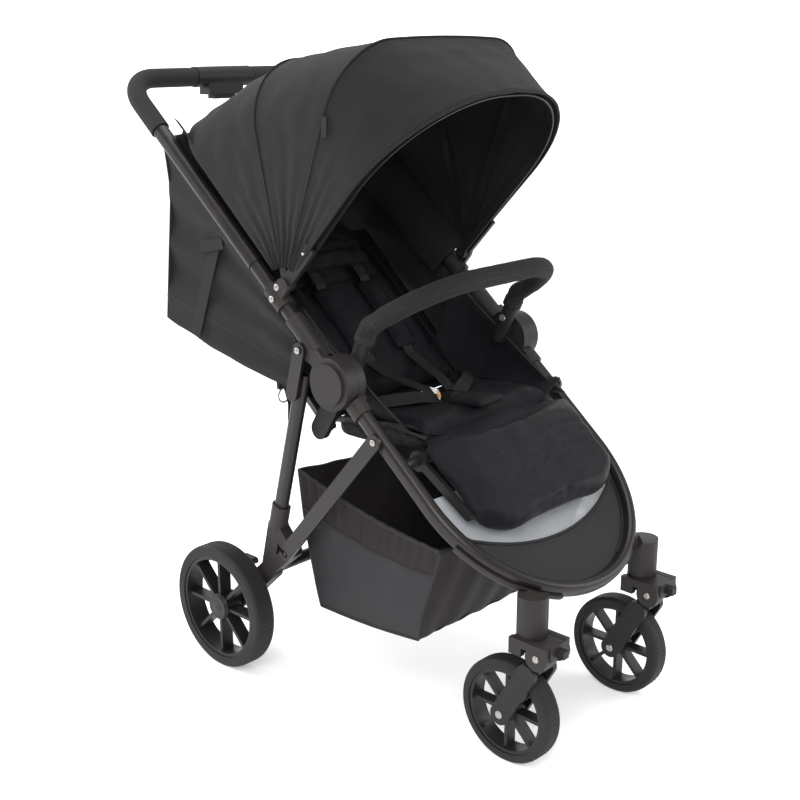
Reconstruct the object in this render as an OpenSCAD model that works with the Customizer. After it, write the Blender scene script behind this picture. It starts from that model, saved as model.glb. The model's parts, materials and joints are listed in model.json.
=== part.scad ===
// Folding four-wheeled baby stroller: straight side frame, round fold hubs, swivel front wheels.
// Millimetres, +Z up. The seat faces -Y; left and right are the seated child's.

/* [Overall] */
// Distance between the front and rear axles
wheelbase = 567; // [520:1:640]
// Height of the push bar's centre above the ground
push_height = 1015; // [940:1:1100]
// Width over the outer faces of the rear wheels
overall_w = 548; // [510:1:620]

/* [Wheels] */
// Diameter of the rear tyres
rear_wheel_d = 225; // [200:1:240]
// Width of the rear tyres
rear_wheel_w = 40; // [32:1:46]
// Diameter of the front tyres
front_wheel_d = 171; // [150:1:190]
// Width of the front tyres
front_wheel_w = 34; // [26:1:38]
// Number of spokes in each wheel
spokes = 8; // [6:1:10]
// Distance from the middle of the stroller to each front wheel's swivel axis
swivel_x = 150; // [135:1:165]

/* [Tubes] */
// Diameter of the upper handle tube
handle_d = 28; // [24:1:30]
// Diameter of the thinner handle tube near the hubs
lower_d = 25; // [20:1:26]
// Outer diameter of the foam grip
grip_d = 34; // [32:1:40]
// Radius of the handle's two corners, at the tube's centre
handle_corner = 62; // [45:1:80]
// Width of the oval front tube, seen from above
front_tube_w = 20; // [16:1:22]
// Height of the oval front tube, across its slope
front_tube_h = 28; // [24:1:32]
// Wall thickness of the tubes
tube_wall = 1.8; // [1.2:0.1:2.5]

/* [Hub] */
// Radius of the round fold hubs
hub_r = 43; // [38:1:46]
// Running clearance, on the radius, of every pivot pin
pin_clear = 0.08; // [0.02:0.01:0.1]

/* [Seat and canopy] */
// Width of the seat cushion
seat_w = 330; // [290:1:340]
// Length of the backrest between its rounded ends
back_len = 363; // [320:1:370]
// Thickness of the seat and backrest cushions
cushion_t = 30; // [22:1:34]
// Height of the middle canopy rib above its pivot
canopy_rise = 401; // [380:1:410]
// Angle between the front and middle canopy ribs
rib_step = 22; // [18:1:24]
// Half of the distance between the two bumper bar sockets
bumper_x = 185; // [180:1:187]

/* [Hidden] */
$fn = 64;

// Side view points are [y, z], measured from the ground below the rear axle.
rear_r = rear_wheel_d / 2;
front_r = front_wheel_d / 2;
rear_axle = [0, rear_r];
front_axle = [-wheelbase, front_r];
hub = [-0.464 * wheelbase, 0.5586 * push_height];
push_bar = [0.4744 * wheelbase, push_height];

// The handle and the front tube are one straight slope through the hub.
slope = atan2(push_bar[1] - hub[1], push_bar[0] - hub[0]);
handle_run = norm(push_bar - hub);
loop_run = 0.36 * handle_run;
// Point at s along the slope, towards the push bar, and n above it
function on_slope(s, n = 0) = hub + [s * cos(slope) - n * sin(slope), s * sin(slope) + n * cos(slope)];
function toward(p, q, d) = p + (q - p) * d / norm(q - p);
function turn_to(p, q) = atan2(q[1] - p[1], q[0] - p[0]);

// Layers across the stroller, from the middle outwards, as distances from the middle
wheel_gap = 5;
wheel_x = overall_w / 2 - rear_wheel_w;
frame_x = wheel_x - 18;
link_x = frame_x - 36;
mount_x = frame_x - 27;
base_x = frame_x - 16;
cover_x = frame_x + 0.3;
brace_x = frame_x + front_tube_w / 2 + 2.5;
brace_t = 6;
cover_out = frame_x + 24;
layer_gap = 0.4;

pin_r = 6;
axle_r = 5;
swivel_pin_r = 8;
tube_clear = 0.15;

leg_top = on_slope(0.118 * handle_run, -14);
leg_foot = [-0.187 * wheelbase, 2.5 * rear_r];
leg_w = 27;
leg_t = 18;
bracket_pivot = [-0.25 * wheelbase, 2.17 * rear_r];
brace_top = on_slope(-0.17 * handle_run, 0);
crossbar = [-0.15 * wheelbase, 1.73 * rear_r];
crossbar_r = 11;
casing_end = 0.193 * handle_run;
collar = 0.362 * handle_run;
grip_start = 0.816 * handle_run;

// Front wheels: the swivel axis stands ahead of the axle, the fork's pin ahead of both
swivel_y = -wheelbase - 37;
swivel_z = 2.67 * front_r;
fork_pin = [swivel_y - 30, swivel_z - 24];
fork_gap = front_wheel_w / 2 + 3;
fork_t = 9;
barrel_r = 24;

legrest_pivot = on_slope(-0.246 * handle_run, 0);
seat_pivot = hub + [0.12 * wheelbase, -97];
seat_front = legrest_pivot + [13, 32];
seat_rear = seat_pivot + [-8, -3];
back_low = seat_pivot + [22, 42];
back_lean = 42.5;
back_along = [cos(back_lean), sin(back_lean)];
back_face = [-sin(back_lean), cos(back_lean)];
back_high = back_low + back_len * back_along;
back_bar = back_high - 30 * back_along - (cushion_t / 2 + 12) * back_face;
legrest_low = legrest_pivot + [-142, -93];
pad_x = seat_w / 2;

socket = hub + [-7, 26];
bumper_turn = 24.3;
bumper_up = [-sin(bumper_turn), cos(bumper_turn)];
bumper_knee = socket + 68 * bumper_up;
bumper_slope = 33;
bumper_corner = 120;
bumper_d = 31;
connector_d = 27;
plug_r = 7;

// Canopy: ribs turn about one axis above the handle tubes. Rib angles count up from straight ahead.
canopy_pivot = on_slope(0.2575 * handle_run, 29.6);
canopy_pin_r = 4;
rib_w = 14;
rib_t = 3;
rib_angle = [47.6, 47.6 + rib_step, 103.3];
rib_corner = 110;
visor_corner = 195;
rib_front_x = frame_x - 7.5;
rib_mid_x = rib_front_x + rib_t + 1;
rib_rear_x = rib_mid_x + rib_t + 1;
rib_rise = [1.022 * canopy_rise, canopy_rise, 0.88 * canopy_rise, 0.923 * canopy_rise];
panel_x = rib_rear_x + rib_t + 2;
panel_t = 3;

// Centres the stroller along Y
grip_back = push_bar[0] + grip_d / 2;
wheel_front = -wheelbase - front_r;
shift_y = -(grip_back + wheel_front) / 2;

// Helpers
// Extrudes a side view outline to the span from x to x + t
module across(x, t) translate([x, shift_y, 0]) rotate([90, 0, 90]) linear_extrude(t) children();
// Round bar of radius r through side view point p, from x to x + t
module rod(p, r, x, t) across(x, t) translate(p) circle(r);
module both_sides() {
    children();
    mirror([1, 0, 0]) children();
}
// Straight edges stand this far proud of the round ends that they meet
edge_step = 0.1;
module strip(p, q, w) {
    translate(p) rotate(turn_to(p, q)) translate([0, -w / 2 - edge_step])
        square([norm(q - p), w + 2 * edge_step]);
    translate(p) circle(w / 2);
    translate(q) circle(w / 2);
}
module oval(w, h) {
    for (side = [-1, 1]) translate([0, side * (h - w) / 2]) circle(w / 2);
    square([w + 2 * edge_step, h - w], center = true);
}
// Frame with its origin at side view point p, +Y along the direction a degrees above +Y
module at(p, a) translate([0, p[0] + shift_y, p[1]]) rotate([a, 0, 0]) children();
module tube_along(d0, d1) translate([0, d0, 0]) rotate([-90, 0, 0]) linear_extrude(d1 - d0) children();

module tyre(r, w, x) {
    depth = 0.17 * r;
    round_r = 6;
    translate([x, 0, 0]) rotate([0, 90, 0]) rotate_extrude() {
        translate([r - depth, -w / 2]) square([depth - round_r, w]);
        translate([r - depth, -w / 2 + round_r]) square([depth, w - 2 * round_r]);
        for (side = [-1, 1]) translate([r - round_r, side * (w / 2 - round_r)]) circle(round_r);
    }
}
module rim(r, w, x, hub_w, bore_depth) {
    outer = 0.83 * r - tube_clear;
    inner = outer - 6;
    translate([x, 0, 0]) rotate([0, 90, 0]) difference() {
        union() {
            translate([0, 0, -w / 2 + 2]) linear_extrude(w - 4) difference() {
                circle(outer);
                circle(inner);
            }
            translate([0, 0, -hub_w / 2]) cylinder(r = 0.19 * r, h = hub_w);
            for (i = [0:spokes - 1]) rotate(i * 360 / spokes)
                translate([0.15 * r, -3, -0.3 * w]) cube([inner + 1 - 0.15 * r, 6, 0.6 * w]);
        }
        translate([0, 0, -hub_w / 2 - 1]) cylinder(r = axle_r + pin_clear, h = bore_depth + 1);
    }
}

// Front frame
module front_section(grow) oval(front_tube_w + 2 * grow, front_tube_h + 2 * grow);
module front_wall() difference() {
    front_section(0);
    front_section(-tube_wall);
}
module front_loop() color("#2a2322") at(hub, slope) {
    both_sides() translate([frame_x, 0, 0]) tube_along(-loop_run, -hub_r - 1.5) front_wall();
    translate([0, -loop_run, 0]) rotate([0, 0, 180]) rotate_extrude(angle = 180)
        translate([frame_x, 0]) front_wall();
}
module hub_bases() color("#262123") both_sides() difference() {
    union() {
        rod(hub, hub_r, base_x, 15.7);
        at(hub, slope) translate([frame_x, 0, 0]) tube_along(-70, -hub_r - 2) oval(30, 36);
        at(hub, slope) translate([base_x, -hub_r - 6, -14]) cube([15.7, 30, 28]);
    }
    at(hub, slope) translate([frame_x, 0, 0]) tube_along(-90, -hub_r - 1) front_section(tube_clear);
    rod(hub, pin_r + pin_clear, base_x - 1, 30);
}
module caster_mount() color("#2a2422") difference() {
    union() {
        at(hub, slope) translate([0, -loop_run, 0]) rotate([0, 0, 198]) rotate_extrude(angle = 49)
            translate([frame_x, 0]) intersection() {
                oval(front_tube_w + 9, front_tube_h + 9);
                translate([-20, -30]) square([40, 30]);
            }
        translate([-swivel_x, swivel_y + shift_y, swivel_z]) cylinder(r = barrel_r, h = 62);
    }
    at(hub, slope) translate([0, -loop_run, 0]) rotate([0, 0, 180]) rotate_extrude(angle = 90)
        translate([frame_x, 0]) union() {
            front_section(tube_clear);
            translate([-20, 0]) square([40, 60]);
        }
    translate([-swivel_x, swivel_y + shift_y, swivel_z - 1])
        cylinder(r = swivel_pin_r + pin_clear, h = 41);
}
module caster_mount_right() caster_mount();
module caster_mount_left() mirror([1, 0, 0]) caster_mount();
module seat_crossbar() color("#1f1d1e") rod(legrest_pivot, 8,
    -frame_x + front_tube_w / 2 + 0.3, 2 * frame_x - front_tube_w - 0.6);
module seat_mounts() color("#1d1c1e") both_sides() difference() {
    union() {
        across(mount_x, base_x - mount_x) strip(socket, seat_pivot, 34);
        at(socket, bumper_turn) translate([bumper_x, 0, -30]) cylinder(d = connector_d, h = 30);
        rod(seat_pivot, pin_r, mount_x - 24, 25);
    }
    rod(hub, pin_r + pin_clear, mount_x - 1, 30);
    at(socket, bumper_turn) translate([bumper_x, 0, -27]) cylinder(r = plug_r + pin_clear, h = 40);
    at(socket, bumper_turn) translate([0, -60, 0]) cube([400, 120, 60]);
}
module seat_cushion() color("#16161c") across(-pad_x, 2 * pad_x) strip(seat_rear, seat_front, cushion_t);
mesh_arc = 0.532 * handle_run;
// Room that the footrest leaves around the caster mounts
module caster_room() both_sides() {
    at(hub, slope) translate([0, -loop_run, 0]) rotate([0, 0, 197]) rotate_extrude(angle = 51)
        translate([frame_x - front_tube_w / 2 - 5.2, -20]) square([25, 30]);
    translate([-swivel_x, swivel_y + shift_y, swivel_z]) cylinder(r = barrel_r + 0.5, h = 80);
}
module footrest_panel() color("#2e2d30") difference() {
    at(hub, slope) translate([0, 0, -4]) linear_extrude(2) difference() {
        translate([0, -loop_run]) circle(frame_x - front_tube_w / 2 - 1, $fn = 96);
        circle(mesh_arc, $fn = 128);
    }
    caster_room();
}
module front_mesh() color("#b8bcc0") at(hub, slope) translate([0, 0, -8]) linear_extrude(2)
    difference() {
        intersection() {
            circle(mesh_arc + 8, $fn = 128);
            translate([-frame_x + 14, -2 * loop_run]) square([2 * frame_x - 28, 1.05 * loop_run]);
            union() {
                translate([0, -loop_run]) circle(frame_x - 14, $fn = 96);
                translate([-frame_x + 14, -loop_run]) square([2 * frame_x - 28, loop_run]);
            }
        }
        translate([-400, -0.8 * loop_run]) square([800, loop_run]);
    }
basket_x = frame_x - 28;
basket_t = 3;
basket_rear = [-0.23 * wheelbase, 0.375 * push_height];
basket_front = [-0.80 * wheelbase, 0.318 * push_height];
basket_toe = [-0.70 * wheelbase, 0.15 * push_height];
basket_heel = [-0.30 * wheelbase, 0.136 * push_height];
module basket() color("#232024") difference() {
    across(-basket_x, 2 * basket_x) polygon([basket_rear, basket_front, basket_toe, basket_heel]);
    across(-basket_x + basket_t, 2 * (basket_x - basket_t)) polygon([
        basket_rear + [-basket_t, 60], basket_rear + [-basket_t, 0],
        basket_heel + [-basket_t, basket_t], basket_toe + [basket_t, basket_t],
        basket_front + [basket_t + 1, 0], basket_front + [basket_t + 1, 60]
    ]);
}
seat_turn = turn_to(seat_rear, seat_front);
buckle_at = (seat_rear + seat_front) / 2 + 20 * [cos(seat_turn), sin(seat_turn)]
    + (cushion_t / 2 + 0.6) * [sin(seat_turn), -cos(seat_turn)];
module buckle() color("#141416") difference() {
    across(-24, 48) translate(buckle_at) rotate(turn_to(seat_rear, seat_front) + 180)
        translate([-22, 0]) square([44, 16]);
    across(-11, 22) translate(buckle_at) rotate(turn_to(seat_rear, seat_front) + 180)
        translate([-10, 6]) square([20, 12]);
}
module buckle_button() color("#1b1b1e") across(-10, 20) translate(buckle_at)
    rotate(turn_to(seat_rear, seat_front) + 180) translate([-9, 9]) square([18, 9]);

// Handle
module hub_cover() color("#332d2f") difference() {
    union() {
        rod(hub, hub_r, cover_x, cover_out - cover_x);
        rod(hub, 0.78 * hub_r, cover_x, cover_out - cover_x + 5);
        at(hub, slope) translate([frame_x, 0, 0]) tube_along(hub_r + 2, casing_end)
            circle(lower_d / 2 + 3.5);
        at(hub, slope) translate([cover_x, 20, -15]) cube([cover_out - cover_x - 8.5, 40, 30]);
        across(cover_x, cover_out - cover_x - 8.5) strip(on_slope(hub_r + 6, 0), leg_top, 24);
        rod(leg_top, pin_r, cover_x, cover_out - cover_x);
        rod(hub, pin_r, mount_x + 3, cover_x - mount_x);
    }
    at(hub, slope) translate([frame_x, 0, 0]) tube_along(hub_r + 14, 800) circle(lower_d / 2 + tube_clear);
}
module hub_cover_left() hub_cover();
module hub_cover_right() mirror([1, 0, 0]) hub_cover();
module ring(d) difference() {
    circle(d / 2);
    circle(d / 2 - tube_wall);
}
module handle_path(from) {
    side_end = handle_run - handle_corner;
    both_sides() {
        translate([frame_x, 0, 0]) tube_along(from, side_end) children();
        translate([frame_x - handle_corner, side_end, 0]) rotate_extrude(angle = 90)
            translate([handle_corner, 0]) children();
    }
}
module handle_tube() color("#2b2424") at(hub, slope) {
    both_sides() translate([frame_x, 0, 0]) tube_along(hub_r + 15, collar) ring(lower_d);
    handle_path(collar) ring(handle_d);
    translate([-frame_x + handle_corner, handle_run, 0]) rotate([0, 90, 0])
        linear_extrude(2 * (frame_x - handle_corner)) ring(handle_d);
}
sleeve_x = 64;
module foam_ring() difference() {
    circle(grip_d / 2);
    circle(handle_d / 2 + tube_clear);
}
module grips() color("#242426") at(hub, slope) {
    handle_path(grip_start) foam_ring();
    both_sides() translate([sleeve_x + 0.5, handle_run, 0]) rotate([0, 90, 0])
        linear_extrude(frame_x - handle_corner - sleeve_x - 0.5) foam_ring();
}
trigger_x = 25;
module handle_sleeve() color("#1a1a1c") difference() {
    union() {
        rod(push_bar, grip_d / 2 + 1.5, -sleeve_x, 2 * sleeve_x);
        across(-sleeve_x + 24, 2 * sleeve_x - 48) translate(push_bar + [-15, -32]) square([30, 30]);
    }
    rod(push_bar, handle_d / 2 + tube_clear, -sleeve_x - 1, 2 * sleeve_x + 2);
    across(-trigger_x - 1, 2 * trigger_x + 2) translate(push_bar + [-11, -40]) square([22, 23.5]);
}
module fold_trigger() color("#121214") across(-trigger_x, 2 * trigger_x)
    translate(push_bar + [-10, -40]) square([20, 16]);
module canopy_clamps() color("#1c1c1f") both_sides() difference() {
    union() {
        at(hub, slope) translate([frame_x, 0, 0])
            tube_along(0.2575 * handle_run - 22, 0.2575 * handle_run + 22) circle(lower_d / 2 + 4);
        across(frame_x + 4, 8) strip(on_slope(0.2575 * handle_run, 0), canopy_pivot, 26);
        rod(canopy_pivot, canopy_pin_r, frame_x - 9, 18);
    }
    at(hub, slope) translate([frame_x, 0, 0]) tube_along(0, 800) circle(lower_d / 2 + tube_clear);
}
curtain_x = frame_x - 26;
curtain_t = 3;
curtain = [on_slope(0.24 * handle_run, -20), on_slope(0.73 * handle_run, -20),
    seat_pivot + [409, 94], seat_pivot + [32, 48]];
module back_curtain() color("#1b1b1f") difference() {
    across(-curtain_x, 2 * curtain_x) polygon(curtain);
    across(-curtain_x + curtain_t, 2 * (curtain_x - curtain_t)) polygon([
        curtain[0] + [-90, 40], curtain[1] + [-curtain_t, 60], curtain[1] + [-curtain_t, 0],
        curtain[2] + [-curtain_t, 0], curtain[2] + [-curtain_t, -60], curtain[3] + [-90, -60]
    ]);
}

// Canopy
module arch(half_w, rise, corner) {
    translate([-half_w - edge_step, 0]) square([2 * (half_w + edge_step), rise - corner]);
    translate([corner - half_w, 0]) square([2 * (half_w - corner), rise + edge_step]);
    for (side = [-1, 1]) translate([side * (half_w - corner), rise - corner]) circle(corner, $fn = 96);
}
// Stands a hoop outline on the canopy pivot, leaning a degrees up from straight ahead
module hoop(a, t) translate([0, canopy_pivot[0] + shift_y, canopy_pivot[1]]) rotate([180 - a, 0, 0])
    translate([0, 0, -t / 2]) linear_extrude(t) children();
module rib(index, half_w, rise, corner) {
    angle = rib_angle[index];
    difference() {
        union() {
            hoop(angle, rib_w) difference() {
                arch(half_w + rib_t, rise, corner);
                arch(half_w, rise - rib_t, corner - rib_t);
                translate([-400, -1]) square([800, 7]);
            }
            both_sides() rod(canopy_pivot, 11, half_w, rib_t);
        }
        rod(canopy_pivot, canopy_pin_r + pin_clear, -400, 800);
    }
}
module rib_front() color("#202024") rib(0, rib_front_x, rib_rise[0], visor_corner);
module rib_middle() color("#202024") rib(1, rib_mid_x, rib_rise[1], rib_corner);
module rib_rear() color("#202024") rib(2, rib_rear_x, rib_rise[2], rib_corner);
module wedge(a0, a1, rise0, rise1, corner0, corner1, half_w) hull() {
    hoop(a0, 1) arch(half_w, rise0, corner0, $fn = 32);
    hoop(a1, 1) arch(half_w, rise1, corner1, $fn = 32);
}
module canopy_panel(index, corner0, corner1) {
    a0 = rib_angle[index] + 2.2;
    a1 = index == 2 ? 180 - slope - 2 : rib_angle[index + 1] - 0.9;
    rise0 = rib_rise[index] + 2 + panel_t;
    rise1 = rib_rise[index + 1] + 2 + panel_t;
    difference() {
        wedge(a0, a1, rise0, rise1, corner0, corner1, panel_x + panel_t);
        wedge(a0 - 1.5, a1 + 1.5, rise0 - panel_t, rise1 - panel_t, corner0, corner1, panel_x);
        rod(canopy_pivot, 60, -400, 800);
    }
}
module canopy_front() color("#2c2c2f") canopy_panel(0, visor_corner, rib_corner);
module canopy_middle() color("#2c2c2f") canopy_panel(1, rib_corner, rib_corner);
module canopy_rear() color("#2c2c2f") canopy_panel(2, rib_corner, rib_corner);

// Rear legs and bracing
leg_angle = turn_to(leg_top, leg_foot);
leg_run = norm(leg_foot - leg_top);
leg_plate_x = cover_out - 8;
module rear_leg() color("#2b2424") difference() {
    union() {
        at(leg_top, leg_angle) translate([frame_x, 0, 0]) tube_along(45, leg_run) difference() {
            oval(leg_t, leg_w);
            oval(leg_t - 2 * tube_wall, leg_w - 2 * tube_wall);
        }
        across(leg_plate_x, 5.5) strip(leg_top, toward(leg_top, leg_foot, 78), 25);
        at(leg_top, leg_angle) translate([frame_x + leg_t / 2 - tube_wall, 48, -leg_w / 2 + 4.5])
            cube([leg_plate_x + 1 - frame_x - leg_t / 2 + tube_wall, 36, leg_w - 9]);
    }
    rod(leg_top, pin_r + pin_clear, leg_plate_x - 1, 10);
}
module rear_leg_left() rear_leg();
module rear_leg_right() mirror([1, 0, 0]) rear_leg();
bracket_x = frame_x - 14;
bracket_t = 26;
module rear_bracket() color("#242021") difference() {
    union() {
        at(leg_top, leg_angle) translate([frame_x, 0, 0]) tube_along(leg_run - 42, leg_run + 4)
            oval(leg_t + 8, leg_w + 8);
        across(bracket_x + 2, bracket_t - 4) {
            strip(leg_foot, bracket_pivot, 24);
            strip(leg_foot, crossbar, 30);
            strip(crossbar, rear_axle, 34);
            strip(crossbar, bracket_pivot, 22);
        }
        rod(rear_axle, axle_r, bracket_x + 4, wheel_x + rear_wheel_w - bracket_x - 12);
        rod(rear_axle, 14, bracket_x + bracket_t - 3, wheel_x - bracket_x - bracket_t);
        rod(bracket_pivot, 4, bracket_x + 4, brace_x + brace_t - bracket_x - 4);
    }
    at(leg_top, leg_angle) translate([frame_x, 0, 0]) tube_along(0, leg_run + tube_clear)
        oval(leg_t + 2 * tube_clear, leg_w + 2 * tube_clear);
}
module rear_bracket_left() rear_bracket();
module rear_bracket_right() mirror([1, 0, 0]) rear_bracket();
module rear_crossbar() color("#2b2424") rod(crossbar, crossbar_r, -bracket_x - 2, 2 * bracket_x + 4);
pedal_pivot = [-0.06 * wheelbase, 1.35 * rear_r];
module brake_pedal() color("#1a1a1c") difference() {
    union() {
        across(-bracket_x + 0.5, 12) strip(pedal_pivot, pedal_pivot + [70, 6], 18);
        across(-bracket_x + 0.5, 46) strip(pedal_pivot + [62, 6], pedal_pivot + [88, 6], 12);
    }
    rod(pedal_pivot, axle_r + pin_clear, -bracket_x, 30);
}
brace_turn = turn_to(bracket_pivot, brace_top);
brace_side = [sin(brace_turn), -cos(brace_turn)];
module brace() color("#2b2424") difference() {
    across(brace_x, brace_t) strip(bracket_pivot, brace_top, 26);
    rod(brace_top, pin_r + pin_clear, brace_x - 1, 20);
    across(brace_x - 1, 20) strip(bracket_pivot - 1.5 * brace_side, bracket_pivot + 25 * brace_side, 10.4);
}
module brace_left() brace();
module brace_right() mirror([1, 0, 0]) brace();

// Wheels
module rear_at() translate([0, rear_axle[0] + shift_y, rear_axle[1]]) children();
module front_at() translate([0, front_axle[0] + shift_y, front_axle[1]]) children();
rear_mid = wheel_x + rear_wheel_w / 2;
module rear_rim() color("#1f1f21") rear_at() {
    rim(rear_r, rear_wheel_w, rear_mid, rear_wheel_w - 2, rear_wheel_w - 5);
}
module rear_rim_left() rear_rim();
module rear_rim_right() mirror([1, 0, 0]) rear_rim();
module rear_tyre() color("#151515") rear_at() tyre(rear_r, rear_wheel_w, rear_mid);
module rear_tyre_left() rear_tyre();
module rear_tyre_right() mirror([1, 0, 0]) rear_tyre();
module front_rim() color("#1f1f21") front_at()
    rim(front_r, front_wheel_w, swivel_x, front_wheel_w, front_wheel_w + 2);
module front_rim_left() front_rim();
module front_rim_right() mirror([1, 0, 0]) front_rim();
module front_tyre() color("#151515") front_at() tyre(front_r, front_wheel_w, swivel_x);
module front_tyre_left() front_tyre();
module front_tyre_right() mirror([1, 0, 0]) front_tyre();

// Casters
cheek_t = 10;
knuckle_x = fork_gap - 0.5;
module caster() color("#2a2422") {
    roof_z = fork_pin[1] + 16.5;
    nose_y = fork_pin[0] - 21;
    back_y = swivel_y + barrel_r - 3;
    translate([swivel_x, swivel_y + shift_y, swivel_z - 5.5]) cylinder(r = barrel_r, h = 5);
    translate([swivel_x, swivel_y + shift_y, swivel_z - 5]) cylinder(r = swivel_pin_r, h = 43);
    for (side = [-1, 1]) across(swivel_x + side * (fork_gap + cheek_t / 2) - cheek_t / 2, cheek_t) {
        translate(fork_pin) circle(20);
        translate([nose_y + 3, roof_z - 8]) square([back_y - nose_y - 3, swivel_z - 3 - roof_z + 8]);
        translate([swivel_y - 2, roof_z - 22]) square([back_y - swivel_y + 2, 20]);
    }
    across(swivel_x - fork_gap - 1, 2 * fork_gap + 2) {
        translate([nose_y, roof_z]) square([back_y - nose_y - 2, swivel_z - 3.5 - roof_z]);
        translate([nose_y, roof_z - 18]) square([4, 19]);
        translate([swivel_y, roof_z - 21]) square([back_y - swivel_y - 1, 22]);
    }
    rod(fork_pin, axle_r, swivel_x - fork_gap - 1, 2 * fork_gap + 2);
}
module caster_left() caster();
module caster_right() mirror([1, 0, 0]) caster();
module fork() color("#221f20") difference() {
    union() {
        rod(fork_pin, 15, swivel_x - knuckle_x, 2 * knuckle_x);
        across(swivel_x - knuckle_x, 2 * knuckle_x)
            strip(fork_pin, toward(fork_pin, front_axle, 26), 26);
        across(swivel_x - fork_gap - fork_t, 2 * (fork_gap + fork_t))
            strip(toward(fork_pin, front_axle, 37), toward(fork_pin, front_axle, 38), 16);
        for (side = [-1, 1]) across(swivel_x + side * (fork_gap + fork_t / 2) - fork_t / 2, fork_t)
            strip(toward(fork_pin, front_axle, 40), front_axle, 34);
        rod(front_axle, axle_r, swivel_x - fork_gap - 1, 2 * fork_gap + 2);
    }
    rod(fork_pin, axle_r + pin_clear, swivel_x - 60, 120);
}
module fork_left() fork();
module fork_right() mirror([1, 0, 0]) fork();
module swivel_lock() color("#151517") across(swivel_x - 6.5, 13)
    translate(fork_pin + [-34, 2]) square([12.5, 12]);
module swivel_lock_left() swivel_lock();
module swivel_lock_right() mirror([1, 0, 0]) swivel_lock();

// Seat
module seat_link() color("#8c8a88") both_sides() difference() {
    across(link_x + 1, 5) strip(seat_pivot, seat_pivot + [-46, 62], 18);
    rod(seat_pivot, pin_r + pin_clear, link_x - 1, 10);
}
module backrest_frame() color("#1f1d1e") {
    difference() {
        both_sides() across(link_x - 7, 7) strip(seat_pivot, back_bar, 16);
        rod(seat_pivot, pin_r + pin_clear, -400, 800);
    }
    rod(back_bar, 6, -link_x + 1, 2 * link_x - 2);
}
module backrest_pad() color("#17171c") across(-pad_x, 2 * pad_x) strip(back_low, back_high, cushion_t);
back_turn = turn_to(back_low, back_high);
module on_back(x, t, s, n, len, thick) across(x, t) translate(back_low) rotate(back_turn)
    translate([s, cushion_t / 2 + n]) square([len, thick]);
module headrest() color("#1a1a1f") on_back(-0.7 * pad_x, 1.4 * pad_x, 205, 1, 120, 26);
module shoulder_pads() color("#141417") both_sides() on_back(22, 46, 40, 1, 150, 12);
module legrest_arms() color("#1f1d1e") both_sides() difference() {
    across(pad_x + 3, 9) {
        translate(legrest_pivot) circle(17);
        strip(legrest_pivot, legrest_low + [40, 28], 14);
    }
    rod(legrest_pivot, 8 + pin_clear, 0, 400);
}
module legrest_pad() color("#16161c") across(-pad_x - 2, 2 * pad_x + 4)
    strip(legrest_pivot + [-28, 5], legrest_low, 32);

// Bumper bar
module bumper_bar() color("#27272b") {
    both_sides() at(socket, bumper_turn) translate([bumper_x, 0, 42]) cylinder(d = bumper_d, h = 26);
    at(bumper_knee, 180 - bumper_slope) {
        both_sides() {
            translate([bumper_x, 0, 0]) sphere(d = bumper_d + 4 * edge_step);
            translate([bumper_x, 0, 0]) tube_along(0, 14) circle(bumper_d / 2);
            translate([bumper_x - bumper_corner, 14, 0]) rotate_extrude(angle = 90)
                translate([bumper_corner, 0]) circle(bumper_d / 2);
        }
        translate([-bumper_x + bumper_corner, 14 + bumper_corner, 0]) rotate([0, 90, 0])
            cylinder(d = bumper_d, h = 2 * (bumper_x - bumper_corner));
    }
}
module bumper_ends() color("#1a1a1c") both_sides() difference() {
    at(socket, bumper_turn) translate([bumper_x, 0, 0]) {
        translate([0, 0, 0.5]) cylinder(d = connector_d, h = 41.5);
        translate([0, 0, -25]) cylinder(r = plug_r, h = 30);
    }
    at(socket, bumper_turn) translate([bumper_x, 0, 18]) rotate([0, -90, 0])
        cylinder(r = 6, h = 30);
}
module bumper_button() color("#b9b9b9") at(socket, bumper_turn)
    translate([bumper_x - 4, 0, 18]) rotate([0, -90, 0]) cylinder(r = 5.7, h = 11.5);
module bumper_button_left() bumper_button();
module bumper_button_right() mirror([1, 0, 0]) bumper_button();

front_loop();
hub_bases();
caster_mount_left();
caster_mount_right();
seat_crossbar();
seat_mounts();
seat_cushion();
footrest_panel();
front_mesh();
basket();
buckle();
buckle_button();
hub_cover_left();
hub_cover_right();
handle_tube();
grips();
handle_sleeve();
canopy_clamps();
back_curtain();
fold_trigger();
rib_rear();
rib_middle();
rib_front();
canopy_rear();
canopy_middle();
canopy_front();
rear_leg_left();
rear_leg_right();
rear_bracket_left();
rear_bracket_right();
rear_crossbar();
brake_pedal();
rear_rim_left();
rear_rim_right();
rear_tyre_left();
rear_tyre_right();
front_rim_left();
front_rim_right();
front_tyre_left();
front_tyre_right();
brace_left();
brace_right();
caster_left();
caster_right();
fork_left();
fork_right();
swivel_lock_left();
swivel_lock_right();
seat_link();
backrest_frame();
backrest_pad();
headrest();
shoulder_pads();
legrest_arms();
legrest_pad();
bumper_bar();
bumper_ends();
bumper_button_left();
bumper_button_right();
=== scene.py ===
import json
import math

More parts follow.
